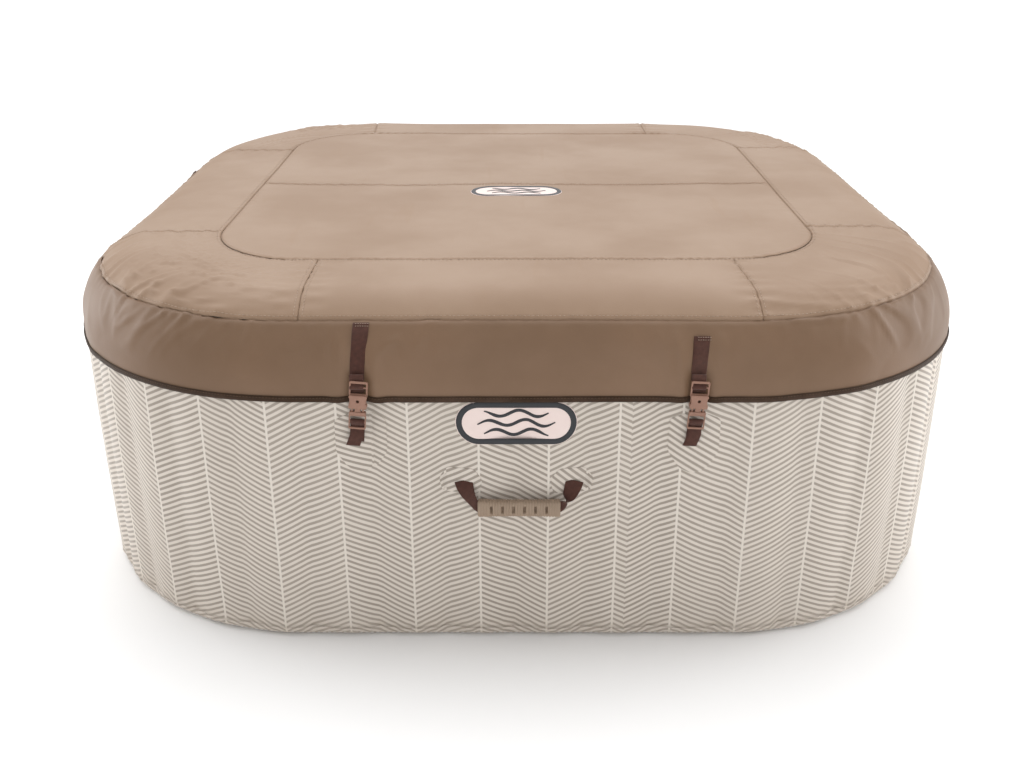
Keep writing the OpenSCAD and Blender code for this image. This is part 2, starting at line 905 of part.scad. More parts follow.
tub_floor();
base_band();
outer_wall();
rim_top();
inner_wall();
wall_webs();
bubble_channel();
air_duct();
wall_patches();
tub_badge();
water_ports();
air_port();
drain_fitting();
port_nuts();
strainer_grids();
air_valve_body();
air_valve_cap();
water_cap(beam_pitch);  // water_cap_left
water_cap(-beam_pitch);  // water_cap_right
air_port_cap();
drain_cap();
handle_strap(FRONT);  // front_handle_strap
handle_grip(FRONT);  // front_handle_grip
handle_strap(LEFT);  // left_handle_strap
handle_grip(LEFT);  // left_handle_grip
handle_strap(RIGHT);  // right_handle_strap
handle_grip(RIGHT);  // right_handle_grip
tub_straps();
buckle_plugs();
buckle_arm(FRONT, -strap_left, -1);  // arm_front_left_1
buckle_arm(FRONT, -strap_left, 1);  // arm_front_left_2
buckle_arm(FRONT, strap_right, -1);  // arm_front_right_1
buckle_arm(FRONT, strap_right, 1);  // arm_front_right_2
buckle_arm(RIGHT, -strap_left, -1);  // arm_right_left_1
buckle_arm(RIGHT, -strap_left, 1);  // arm_right_left_2
buckle_arm(RIGHT, strap_right, -1);  // arm_right_right_1
buckle_arm(RIGHT, strap_right, 1);  // arm_right_right_2
buckle_arm(BACK, -strap_left, -1);  // arm_back_left_1
buckle_arm(BACK, -strap_left, 1);  // arm_back_left_2
buckle_arm(BACK, strap_right, -1);  // arm_back_right_1
buckle_arm(BACK, strap_right, 1);  // arm_back_right_2
buckle_arm(LEFT, -strap_left, -1);  // arm_left_left_1
buckle_arm(LEFT, -strap_left, 1);  // arm_left_left_2
buckle_arm(LEFT, strap_right, -1);  // arm_left_right_1
buckle_arm(LEFT, strap_right, 1);  // arm_left_right_2
cover_front_panel();
cover_back_panel();
cover_side_ring();
cover_corner_ring();
cover_skirt();
hem_binding();
cover_pocket();
air_cushion();
cushion_valve();
cushion_plug();
pocket_zip();
zip_slider();
cover_straps();
buckle_sockets();
cover_badge();
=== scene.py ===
"""Looks of an inflatable hot tub with a buckled vinyl cover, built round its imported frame."""

import logging
from collections.abc import Callable, Sequence
from dataclasses import dataclass
from enum import Enum
from itertools import pairwise
from math import atan2, ceil, copysign, cos, dist, floor, hypot, pi, radians, sin, sqrt, tau

import bmesh
import bpy
from bpy.types import Material, Mesh, Modifier, Node, NodeSocket, NodeTree, Object
from mathutils import Matrix, Vector, noise


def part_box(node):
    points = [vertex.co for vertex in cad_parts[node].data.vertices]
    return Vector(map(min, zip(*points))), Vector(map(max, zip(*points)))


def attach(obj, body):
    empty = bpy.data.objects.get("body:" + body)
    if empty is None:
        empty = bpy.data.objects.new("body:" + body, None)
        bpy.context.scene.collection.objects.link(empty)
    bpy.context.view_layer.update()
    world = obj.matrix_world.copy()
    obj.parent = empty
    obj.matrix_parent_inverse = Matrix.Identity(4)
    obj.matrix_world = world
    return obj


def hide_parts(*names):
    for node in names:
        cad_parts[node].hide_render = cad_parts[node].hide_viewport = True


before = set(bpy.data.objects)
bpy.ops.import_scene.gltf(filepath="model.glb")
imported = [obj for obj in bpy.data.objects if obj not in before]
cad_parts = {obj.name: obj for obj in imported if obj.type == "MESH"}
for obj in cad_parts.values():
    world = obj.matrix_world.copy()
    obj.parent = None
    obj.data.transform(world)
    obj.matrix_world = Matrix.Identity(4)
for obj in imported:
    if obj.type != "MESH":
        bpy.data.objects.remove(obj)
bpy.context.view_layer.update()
log = logging.getLogger("hot_tub")

MM = 0.001
UP = Vector((0, 0, 1))
Line = list[tuple[float, float]]


class Side(Enum):
    """The four sides of the tub, counted anticlockwise from above."""

    FRONT = 0
    RIGHT = 1
    BACK = 2
    LEFT = 3

    @property
    def label(self) -> str:
        """The side's name in lower case."""
        return self.name.lower()


def mid(node: str) -> Vector:
    """Middle of a CAD node's box."""
    low, high = (Vector(corner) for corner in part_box(node))
    return (low + high) / 2


def size(node: str) -> Vector:
    """Size of a CAD node's box."""
    low, high = (Vector(corner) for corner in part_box(node))
    return high - low


@dataclass(frozen=True)
class TubShape:
    """Sizes that all of the tub's and cover's surfaces share, in metres."""

    half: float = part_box("outer_wall")[1][0]
    corner_r: float = 0.5
    inner_half: float = 0.665
    shoulder_r: float = 0.144
    base_r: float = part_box("base_band")[1][2]
    rim_z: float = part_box("rim_top")[1][2]
    web_pitch: float = 0.1315
    web_dip: float = 0.0115
    webs: int = 49
    belly: float = 0.003

    @property
    def flat(self) -> float:
        """Half the straight run of a side."""
        return self.half - self.corner_r

    @property
    def inner_r(self) -> float:
        """Corner radius of the basin wall."""
        return self.inner_half - self.flat

    @property
    def shoulder_z(self) -> float:
        """Height where the outer shoulder starts to round over."""
        return self.rim_z - self.shoulder_r


TUB = TubShape()


@dataclass(frozen=True)
class Loop:
    """The rounded-square line that every ring-shaped piece is swept along.

    Distances along it are measured on the tub's outer face, anticlockwise from the front's middle.
    """

    flat: float = TUB.flat
    radius: float = TUB.corner_r

    @property
    def corner(self) -> float:
        """Length of one corner's arc."""
        return self.radius * pi / 2

    @property
    def quarter(self) -> float:
        """Length of one straight side and one corner."""
        return 2 * self.flat + self.corner

    @property
    def length(self) -> float:
        """Length all the way round."""
        return 4 * self.quarter

    def at(self, s: float) -> tuple[Vector, Vector]:
        """Finds a place on the loop.

        Args:
            s: Distance along the loop.

        Returns:
            The point on the corner arcs' centre line and the outward direction there.
        """
        s = (s + self.flat) % self.length
        quarter = min(int(s / self.quarter), 3)
        s -= quarter * self.quarter
        if s <= 2 * self.flat:
            base, out = Vector((s - self.flat, -self.flat, 0)), Vector((0, -1, 0))
        else:
            a = (s - 2 * self.flat) / self.radius
            base, out = Vector((self.flat, -self.flat, 0)), Vector((sin(a), -cos(a), 0))
        turn = Matrix.Rotation(quarter * pi / 2, 3, "Z")
        return turn @ base, turn @ out

    def bend(self, s: float) -> float:
        """How much the loop bends near s: 0 in the middle of a side and 1 in a corner's middle."""
        s = (s + self.flat) % self.quarter
        if s <= 2 * self.flat:
            return 0.0
        return sin(pi * (s - 2 * self.flat) / self.corner) ** 0.6


LOOP = Loop()


def steps(start: float, end: float, count: int) -> list[float]:
    """Evenly spaced values from start to end, both included."""
    return [start + (end - start) * i / count for i in range(count + 1)]


def smooth(x: float) -> float:
    """Smooth step from 0 to 1 as x goes from 0 to 1."""
    x = min(max(x, 0.0), 1.0)
    return x * x * (3 - 2 * x)


def groove(distance: float, width: float) -> float:
    """A rounded dip that is 1 on a line and 0 from width away."""
    return 1 - smooth(abs(distance) / width)


def wander(x: float, y: float, z: float = 0.0) -> float:
    """Smooth noise from about -1 to 1."""
    return noise.noise(Vector((x, y, z)))


# ---- Meshes ----


def new_piece(name: str, mesh: Mesh) -> Object:
    """Adds a mesh, already in place, to the scene as a named piece."""
    mesh.name = name
    return link_new(name, mesh)


def link_new(name: str, data: object) -> Object:
    """Adds an object with its data to the scene."""
    made = bpy.data.objects.new(name, data)
    bpy.context.scene.collection.objects.link(made)
    return made


def mesh_from(
    verts: Sequence[Vector],
    faces: Sequence[Sequence[int]],
    uvs: Line | None = None,
    shade_smooth: bool = True,
) -> Mesh:
    """Makes a mesh from points and faces.

    Args:
        verts: The points.
        faces: Point numbers of each face.
        uvs: One UV pair for each point, in metres, if the piece has a map.
        shade_smooth: Whether the faces are shaded smooth.

    Returns:
        The mesh.
    """
    mesh = bpy.data.meshes.new("mesh")
    mesh.from_pydata([tuple(v) for v in verts], [], [tuple(f) for f in faces])
    if uvs is not None:
        layer = mesh.uv_layers.new(name="UVMap")
        flat_uvs = [c for loop in mesh.loops for c in uvs[loop.vertex_index]]
        layer.data.foreach_set("uv", flat_uvs)
    mesh.polygons.foreach_set("use_smooth", [shade_smooth] * len(mesh.polygons))
    mesh.update()
    return mesh


def grid_mesh(rows: Sequence[Sequence[Vector]], uvs: Sequence[Line]) -> Mesh:
    """Makes an open mesh from rows of points.

    Args:
        rows: Rows of points, all as long as each other.
        uvs: The UV pair of each point.

    Returns:
        The mesh, with one face between each four neighbours.
    """
    wide = len(rows[0])
    verts = [v for row in rows for v in row]
    faces = [
        (i * wide + j, i * wide + j + 1, (i + 1) * wide + j + 1, (i + 1) * wide + j)
        for i in range(len(rows) - 1)
        for j in range(wide - 1)
    ]
    return mesh_from(verts, faces, [uv for row in uvs for uv in row])


def weld(mesh: Mesh, gap: float = 1e-5) -> Mesh:
    """Merges points that meet and turns the faces outward."""
    work = bmesh.new()
    work.from_mesh(mesh)
    bmesh.ops.remove_doubles(work, verts=work.verts, dist=gap)
    bmesh.ops.recalc_face_normals(work, faces=work.faces)
    work.to_mesh(mesh)
    work.free()
    return mesh


def join_meshes(meshes: Sequence[Mesh]) -> Mesh:
    """Joins meshes into a new one, keeping UV maps and smooth shading."""
    work = bmesh.new()
    for mesh in meshes:
        work.from_mesh(mesh)
    joined = bpy.data.meshes.new("joined")
    work.to_mesh(joined)
    work.free()
    return joined


def moved(mesh: Mesh, matrix: Matrix) -> Mesh:
    """A copy of a mesh, moved by a matrix."""
    copy = mesh.copy()
    copy.transform(matrix)
    return copy


def modify(piece: Object, kind: str, **settings: object) -> Modifier:
    """Adds a modifier to a piece.

    Args:
        piece: The piece.
        kind: The modifier's type.
        **settings: Its settings by name.

    Returns:
        The modifier.
    """
    modifier = piece.modifiers.new(kind.lower(), kind)
    for name, value in settings.items():
        setattr(modifier, name, value)
    return modifier


def bake_modifiers(piece: Object) -> None:
    """Applies all of a piece's modifiers to its mesh."""
    depsgraph = bpy.context.evaluated_depsgraph_get()
    mesh = bpy.data.meshes.new_from_object(piece.evaluated_get(depsgraph), depsgraph=depsgraph)
    mesh.name = piece.name
    piece.modifiers.clear()
    piece.data = mesh


def thicken(piece: Object, thickness: float) -> None:
    """Gives an open sheet its thickness, inward from its outer face."""
    modify(piece, "SOLIDIFY", thickness=thickness, offset=-1.0, use_even_offset=False, use_rim=True)


def finish_piece(
    piece: Object, body: str, material: Material, slot: str, *nodes: str
) -> Object:
    """Dresses a piece and ties it to its CAD body.

    Args:
        piece: The piece.
        body: The CAD body that it rides on.
        material: Its finish.
        slot: The record's material slot; not used.
        *nodes: The CAD nodes that it stands for.

    Returns:
        The piece.
    """
    if not piece.data.materials:
        piece.data.materials.append(material)
    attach(piece, body)
    if nodes:
        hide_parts(*nodes)
    log.info("%s: %d faces on %s", piece.name, len(piece.data.polygons), body)
    return piece


def sweep(
    places: Sequence[float],
    section: Line,
    push: Callable[[float, float, float], float],
    start: float = 0.0,
) -> Mesh:
    """Sweeps a section along the loop, pushed in or out along its own normal.

    Args:
        places: Distances along the loop.
        section: Points (outward from the corner arcs' centre line, height), from low to high.
        push: Outward push from the distance along the loop, along the section and the height.
        start: Distance along the section of its first point, for the UV map.

    Returns:
        The open mesh, with u along the loop and v along the section, in metres.
    """
    runs = [start]
    for a, b in pairwise(section):
        runs.append(runs[-1] + dist(a, b))
    last = len(section) - 1
    normals = []
    for i in range(len(section)):
        a, b = section[max(i - 1, 0)], section[min(i + 1, last)]
        length = dist(a, b) or 1.0
        normals.append(((b[1] - a[1]) / length, -(b[0] - a[0]) / length))
    rows, uvs = [], []
    for (x, z), (nx, nz), v in zip(section, normals, runs):
        row, uv_row = [], []
        for s in places:
            base, out = LOOP.at(s)
            d = push(s, v, z)
            row.append(base + out * (x + nx * d) + UP * (z + nz * d))
            uv_row.append((s, v))
        rows.append(row)
        uvs.append(uv_row)
    return grid_mesh(rows, uvs)


def arc(cx: float, cz: float, r: float, a0: float, a1: float, count: int) -> Line:
    """Points on an arc in a section, with angles in degrees from outward, up."""
    return [
        (cx + r * cos(radians(a)), cz + r * sin(radians(a)))
        for a in steps(a0, a1, count)
    ]


# ---- Shader groups and finishes ----


def srgb(code: str) -> tuple[float, float, float, float]:
    """Turns a hex colour into linear RGBA."""
    parts = [int(code[i : i + 2], 16) / 255 for i in (1, 3, 5)]
    linear = [c / 12.92 if c <= 0.04045 else ((c + 0.055) / 1.055) ** 2.4 for c in parts]
    return (linear[0], linear[1], linear[2], 1.0)


class Nodes:
    """A short way to build a shader or geometry node tree."""

    def __init__(self, tree: NodeTree) -> None:
        """Keeps the tree that the nodes go into."""
        self.tree = tree

    def node(self, kind: str, inputs: dict[str | int, object] | None = None, **settings: object) -> Node:
        """Adds a node.

        Args:
            kind: The node's type.
            inputs: For each input's name or number, a value or the socket that feeds it.
            **settings: The node's own settings.

        Returns:
            The node.
        """
        node = self.tree.nodes.new(kind)
        for name, value in settings.items():
            setattr(node, name, value)
        for key, value in (inputs or {}).items():
            self.feed(node, key, value)
        return node

    def feed(self, node: Node, key: str | int, value: object) -> None:
        """Sets a node's input to a value, or links the socket that feeds it."""
        if isinstance(value, NodeSocket):
            self.tree.links.new(value, node.inputs[key])
        else:
            colour = isinstance(value, str) and value[0] == "#"
            node.inputs[key].default_value = srgb(value) if colour else value

    def give(self, end: Node, **values: object) -> None:
        """Feeds a group's outputs."""
        for key, value in values.items():
            self.feed(end, key, value)

    def add(self, kind: str, inputs: dict[str | int, object] | None = None, **settings: object) -> object:
        """Adds a node and returns its outputs."""
        return self.node(kind, inputs, **settings).outputs

    def times(self, a: object, b: object) -> NodeSocket:
        """Multiplies two values."""
        return self.math("MULTIPLY", a, b)

    def plus(self, a: object, b: object) -> NodeSocket:
        """Adds two values."""
        return self.math("ADD", a, b)

    def minus(self, a: object, b: object) -> NodeSocket:
        """Subtracts the second value from the first."""
        return self.math("SUBTRACT", a, b)

    def over(self, a: object, b: object) -> NodeSocket:
        """Divides the first value by the second."""
        return self.math("DIVIDE", a, b)

    def math(self, operation: str, a: object, b: object = 0.0, c: object = 0.0) -> NodeSocket:
        """Adds a Math node and returns its result."""
        return self.add("ShaderNodeMath", {0: a, 1: b, 2: c}, operation=operation)[0]

    def step(self, value: object, low: float, high: float) -> NodeSocket:
        """Adds a smooth step of a value between two limits, from 0 to 1."""
        inputs = {"Value": value, "From Min": low, "From Max": high}
        return self.add("ShaderNodeMapRange", inputs, interpolation_type="SMOOTHSTEP")["Result"]

    def mix(self, factor: object, a: object, b: object, blend: str = "MIX") -> NodeSocket:
        """Mixes two colours and returns the result."""
        return self.add("ShaderNodeMix", {0: factor, 6: a, 7: b}, data_type="RGBA", blend_type=blend)[2]

    def noise(self, vector: object, scale: float, detail: float = 3.0, rough: float = 0.5) -> NodeSocket:
        """Adds a Noise Texture and returns its value."""
        inputs = {"Vector": vector, "Scale": scale, "Detail": detail, "Roughness": rough}
        return self.add("ShaderNodeTexNoise", inputs)[0]


def shader_group(
    name: str, inputs: dict[str, float | None], outputs: Sequence[str]
) -> tuple[Nodes, object, Node]:
    """Starts a shader node group.

    Args:
        name: The group's name.
        inputs: Each input's name and default number, or None for a vector.
        outputs: Names of its number outputs.

    Returns:
        The tree's builder, its input node and its output node.
    """
    tree = bpy.data.node_groups.new(name, "ShaderNodeTree")
    for label, default in inputs.items():
        kind = "NodeSocketVector" if default is None else "NodeSocketFloat"
        socket = tree.interface.new_socket(name=label, in_out="INPUT", socket_type=kind)
        if default is not None:
            socket.default_value = default
    for label in outputs:
        tree.interface.new_socket(name=label, in_out="OUTPUT", socket_type="NodeSocketFloat")
    nodes = Nodes(tree)
    return nodes, nodes.add("NodeGroupInput"), nodes.node("NodeGroupOutput")


def build_herringbone() -> NodeTree:
    """Builds the hand-drawn herringbone print: slanted lines in columns that lean left and right in turn."""
    inputs = {"Vector": None, "Column": 0.1277, "Pitch": 0.0118, "Slope": 0.5, "Shift": 0.0685}
    inputs["Wobble"] = 0.12
    n, start, end = shader_group("HerringbonePrint", inputs, ["Line", "Spine", "Tone"])
    where = start["Vector"]
    warp = n.add("ShaderNodeTexNoise", {"Vector": where, "Scale": 9.0, "Detail": 1.5})
    drift = n.add("ShaderNodeVectorMath", {0: warp["Color"], 1: (0.5, 0.5, 0.5)}, operation="SUBTRACT")
    scaled = n.add("ShaderNodeVectorMath", {0: drift[0], "Scale": 0.0032}, operation="SCALE")
    bent = n.add("ShaderNodeVectorMath", {0: where, 1: scaled[0]}, operation="ADD")
    xyz = n.add("ShaderNodeSeparateXYZ", {0: bent[0]})
    plain = n.add("ShaderNodeSeparateXYZ", {0: where})
    column = n.over(n.plus(plain[0], start["Shift"]), start["Column"])
    index = n.math("FLOOR", column)
    across = n.math("FRACT", column)
    lean = n.minus(n.times(n.math("FLOORED_MODULO", index, 2.0), 2.0), 1.0)
    rise = n.times(n.times(across, start["Column"]), start["Slope"])
    sway = n.math("SINE", n.times(across, tau))
    curve = n.times(n.times(sway, start["Wobble"]), 0.0022)
    height = n.minus(xyz[1], n.times(lean, n.plus(rise, curve)))
    offset = n.times(n.math("FRACT", n.times(index, 0.618)), start["Pitch"])
    phase = n.over(n.plus(height, offset), start["Pitch"])
    wave = n.math("COSINE", n.times(phase, tau))
    ragged = n.noise(where, 260.0, 2.0)
    thick = n.plus(n.times(n.minus(n.noise(where, 22.0), 0.5), 0.5), 0.06)
    ink = n.plus(n.plus(wave, thick), n.times(n.minus(ragged, 0.5), 0.4))
    line = n.step(ink, -0.3, 0.62)
    from_spine = n.times(n.math("PINGPONG", column, 0.5), start["Column"])
    spine = n.minus(1.0, n.step(from_spine, 0.0013, 0.0026))
    clear = n.minus(1.0, spine)
    n.give(end, Line=n.times(line, clear))
    n.give(end, Spine=spine)
    n.give(end, Tone=n.math("FRACT", n.times(index, 0.377)))
    return n.tree


def build_grain() -> NodeTree:
    """Builds the fine embossed grain of coated sheet, with a broad tone that varies slowly."""
    inputs = {"Vector": None, "Scale": 420.0, "Broad": 5.0}
    n, start, end = shader_group("SheetGrain", inputs, ["Height", "Tone"])
    where = start["Vector"]
    cells = n.add("ShaderNodeTexVoronoi", {"Vector": where, "Scale": start["Scale"]}, feature="SMOOTH_F1")
    fine = n.add("ShaderNodeTexNoise", {"Vector": where, "Scale": start["Scale"], "Detail": 2.0})
    height = n.plus(n.times(cells["Distance"], 0.6), n.times(fine[0], 0.4))
    broad = n.add("ShaderNodeTexNoise", {"Vector": where, "Scale": start["Broad"], "Detail": 4.0})
    n.give(end, Height=height)
    n.give(end, Tone=broad[0])
    return n.tree


def build_weave() -> NodeTree:
    """Builds a ribbed weave that follows a map in metres: threads across and a finer thread along."""
    inputs = {"Vector": None, "Across": 0.0016, "Along": 0.0011}
    n, start, end = shader_group("RibWeave", inputs, ["Height", "Gap"])
    xyz = n.add("ShaderNodeSeparateXYZ", {0: start["Vector"]})
    u = n.over(xyz[0], start["Across"])
    v = n.over(xyz[1], start["Along"])
    stagger = n.times(n.math("FLOORED_MODULO", n.math("FLOOR", u), 2.0), 0.5)
    rib = n.math("ABSOLUTE", n.math("SINE", n.times(u, pi)))
    thread = n.math("ABSOLUTE", n.math("SINE", n.times(n.plus(v, stagger), pi)))
    height = n.times(n.math("POWER", rib, 0.6), n.plus(n.times(thread, 0.6), 0.4))
    n.give(end, Height=height)
    n.give(end, Gap=n.minus(1.0, n.step(height, 0.05, 0.45)))
    return n.tree


def build_wear() -> NodeTree:
    """Builds scuffs and handling marks: thin scratches and a soft patchy dust."""
    inputs = {"Vector": None, "Scale": 60.0, "Amount": 0.5}
    n, start, end = shader_group("ScuffAndDust", inputs, ["Scuff", "Dust"])
    where = start["Vector"]
    drawn_out = {"Vector": where, "Scale": (1.0, 0.12, 0.4), "Rotation": (0.3, 0.5, 0.7)}
    stretch = n.add("ShaderNodeMapping", drawn_out)
    marks = n.add("ShaderNodeTexNoise", {"Vector": stretch[0], "Scale": start["Scale"], "Detail": 6.0})
    scuff = n.times(n.step(marks[0], 0.62, 0.74), start["Amount"])
    patch = n.add("ShaderNodeTexNoise", {"Vector": where, "Scale": 7.0, "Detail": 5.0, "Roughness": 0.65})
    dust = n.times(n.step(patch[0], 0.42, 0.72), start["Amount"])
    n.give(end, Scuff=scuff)
    n.give(end, Dust=dust)
    return n.tree


@dataclass(frozen=True)
class Groups:
    """The shader groups that the finishes share."""

    print: NodeTree
    grain: NodeTree
    weave: NodeTree
    wear: NodeTree


GROUPS = Groups(build_herringbone(), build_grain(), build_weave(), build_wear())


class Canvas(Nodes):
    """A new material with its Principled shader, ready to be painted."""

    def __init__(self, name: str, **constants: float) -> None:
        """Starts the material.

        Args:
            name: The material's name.
            **constants: Values set on the shader's own sockets, with _ for a space.
        """
        self.material = bpy.data.materials.new(name)
        self.material.use_nodes = True
        super().__init__(self.material.node_tree)
        self.shader = self.tree.nodes["Principled BSDF"]
        for key, value in constants.items():
            self.shader.inputs[key.replace("_", " ")].default_value = value
        coordinates = self.add("ShaderNodeTexCoord")
        self.object = coordinates["Object"]
        self.uv = coordinates["UV"]

    def group(self, tree: NodeTree, vector: object, **inputs: float) -> Node:
        """Places a shader group with its own values."""
        return self.add("ShaderNodeGroup", {"Vector": vector, **inputs}, node_tree=tree)

    def paint(self, socket: str, value: object) -> None:
        """Feeds one of the shader's sockets."""
        self.tree.links.new(value, self.shader.inputs[socket])

    def bump(self, height: object, distance: float, strength: float = 1.0, under: object = None) -> object:
        """Adds a bump and returns its normal."""
        inputs = {"Height": height, "Distance": distance, "Strength": strength}
        if under is not None:
            inputs["Normal"] = under
        return self.add("ShaderNodeBump", inputs)["Normal"]


@dataclass(frozen=True)
class PrintedLaminate:
    """Cream laminate with the herringbone print, of the outer wall and its patches."""

    shift: float = 0.0685
    seam_at: float = 0.2088
    second_shift: float = 0.142
    column: float = 0.1277
    base: str = "#dcd2c8"
    ink: str = "#958a7e"

    def build(self, name: str) -> Material:
        """Builds the material."""
        c = Canvas(name, Roughness=0.5, Specular_IOR_Level=0.35, Coat_Roughness=0.35, Coat_Weight=0.08)
        xyz = c.add("ShaderNodeSeparateXYZ", {0: c.uv})
        past = c.math("GREATER_THAN", xyz[0], self.seam_at)
        u = c.plus(xyz[0], c.times(past, self.second_shift))
        where = c.add("ShaderNodeCombineXYZ", {0: u, 1: xyz[1]})[0]
        print_ = c.group(GROUPS.print, where, Shift=self.shift, Column=self.column)
        grain = c.group(GROUPS.grain, c.object, Scale=520.0, Broad=3.5)
        wear = c.group(GROUPS.wear, c.object, Scale=30.0, Amount=0.35)
        base = c.mix(grain["Tone"], self.base, "#d3c9be")
        ink = c.mix(print_["Tone"], self.ink, "#9f9488")
        inked = c.mix(c.times(print_["Line"], 0.92), base, ink)
        lit = c.mix(c.times(print_["Spine"], 0.65), inked, "#e2dad0")
        # Darker towards the bottom: the lowest 6 cm of the wall's map are mixed towards a darker beige.
        low = c.minus(1.0, c.step(xyz[1], 0.0, 0.06))
        darker_at_bottom = c.mix(c.times(low, 0.35), lit, "#c3b5a6")
        c.paint("Base Color", c.mix(c.times(wear["Dust"], 0.25), darker_at_bottom, "#d0c6bb"))
        rough = c.plus(c.times(grain["Tone"], 0.18), 0.42)
        c.paint("Roughness", c.minus(rough, c.times(print_["Line"], 0.05)))
        inner = c.bump(grain["Height"], 0.00035, 0.35)
        c.paint("Normal", c.bump(print_["Line"], 0.00015, 0.4, inner))
        return c.material


@dataclass(frozen=True)
class CoatedSheet:
    """Vinyl-coated sheet: the cover's tan vinyl and the plain laminates."""

    base: str
    other: str
    roughness: float = 0.5
    grain: float = 420.0
    relief: float = 0.0004
    worn: str = "#d9cdbf"

    def build(self, name: str) -> Material:
        """Builds the material."""
        c = Canvas(name, Specular_IOR_Level=0.32, Coat_Roughness=0.45, Coat_Weight=0.05, Sheen_Weight=0.04)
        grain = c.group(GROUPS.grain, c.object, Scale=self.grain, Broad=4.0)
        wear = c.group(GROUPS.wear, c.object, Scale=25.0, Amount=0.4)
        tone = c.step(grain["Tone"], 0.3, 0.7)
        base = c.mix(tone, self.base, self.other)
        fine = c.mix(c.times(grain["Height"], 0.3), base, self.other)
        dusty = c.mix(c.times(wear["Dust"], 0.18), fine, self.worn)
        c.paint("Base Color", c.mix(c.times(wear["Scuff"], 0.12), dusty, self.worn))
        rough = c.plus(c.times(tone, 0.12), self.roughness)
        c.paint("Roughness", c.plus(rough, c.times(wear["Scuff"], 0.15)))
        c.paint("Normal", c.bump(grain["Height"], self.relief, 0.45))
        return c.material


@dataclass(frozen=True)
class Woven:
    """Woven tape or webbing, whose threads follow the piece's own map."""

    base: str
    gap: str
    across: float = 0.0016
    along: float = 0.0011

    def build(self, name: str) -> Material:
        """Builds the material."""
        c = Canvas(name, Roughness=0.8, Specular_IOR_Level=0.25, Sheen_Weight=0.1, Sheen_Roughness=0.5)
        weave = c.group(GROUPS.weave, c.uv, Across=self.across, Along=self.along)
        wear = c.group(GROUPS.wear, c.object, Scale=80.0, Amount=0.5)
        tone = c.mix(c.noise(c.uv, 120.0), self.base, self.gap)
        threads = c.mix(weave["Gap"], tone, self.gap)
        c.paint("Base Color", c.mix(c.times(wear["Dust"], 0.2), threads, "#8d7568"))
        c.paint("Roughness", c.plus(c.times(weave["Gap"], 0.12), 0.7))
        c.paint("Normal", c.bump(weave["Height"], 0.0004, 0.7))
        return c.material


@dataclass(frozen=True)
class Moulded:
    """Moulded plastic with a fine spark-eroded texture, flow tone and rubbed edges."""

    base: str
    edge: str
    roughness: float = 0.42
    grain: float = 1500.0

    def build(self, name: str) -> Material:
        """Builds the material."""
        c = Canvas(name, Specular_IOR_Level=0.45, Coat_Roughness=0.3, Coat_Weight=0.05)
        grain = c.group(GROUPS.grain, c.object, Scale=self.grain, Broad=18.0)
        wear = c.group(GROUPS.wear, c.object, Scale=160.0, Amount=0.6)
        bevel = c.add("ShaderNodeBevel", {"Radius": 0.0012}, samples=4)
        geometry = c.add("ShaderNodeNewGeometry")
        pair = {0: bevel["Normal"], 1: geometry["Normal"]}
        facing = c.add("ShaderNodeVectorMath", pair, operation="DOT_PRODUCT")["Value"]
        edge = c.minus(1.0, c.step(facing, 0.72, 0.99))
        base = c.mix(grain["Tone"], self.base, self.edge)
        rubbed = c.mix(c.times(edge, 0.45), base, self.edge)
        c.paint("Base Color", c.mix(c.times(wear["Scuff"], 0.35), rubbed, self.edge))
        c.paint("Roughness", c.plus(c.times(wear["Dust"], 0.2), self.roughness))
        c.paint("Normal", c.bump(grain["Height"], 0.0002, 0.3))
        return c.material


@dataclass(frozen=True)
class PlatedMetal:
    """Plated zinc of the zip slider."""

    base: str = "#b9b9bc"

    def build(self, name: str) -> Material:
        """Builds the material."""
        c = Canvas(name, Metallic=1.0)
        wear = c.group(GROUPS.wear, c.object, Scale=300.0, Amount=0.8)
        c.paint("Base Color", c.mix(wear["Dust"], self.base, "#8f8a84"))
        c.paint("Roughness", c.plus(c.times(wear["Scuff"], 0.3), 0.22))
        return c.material


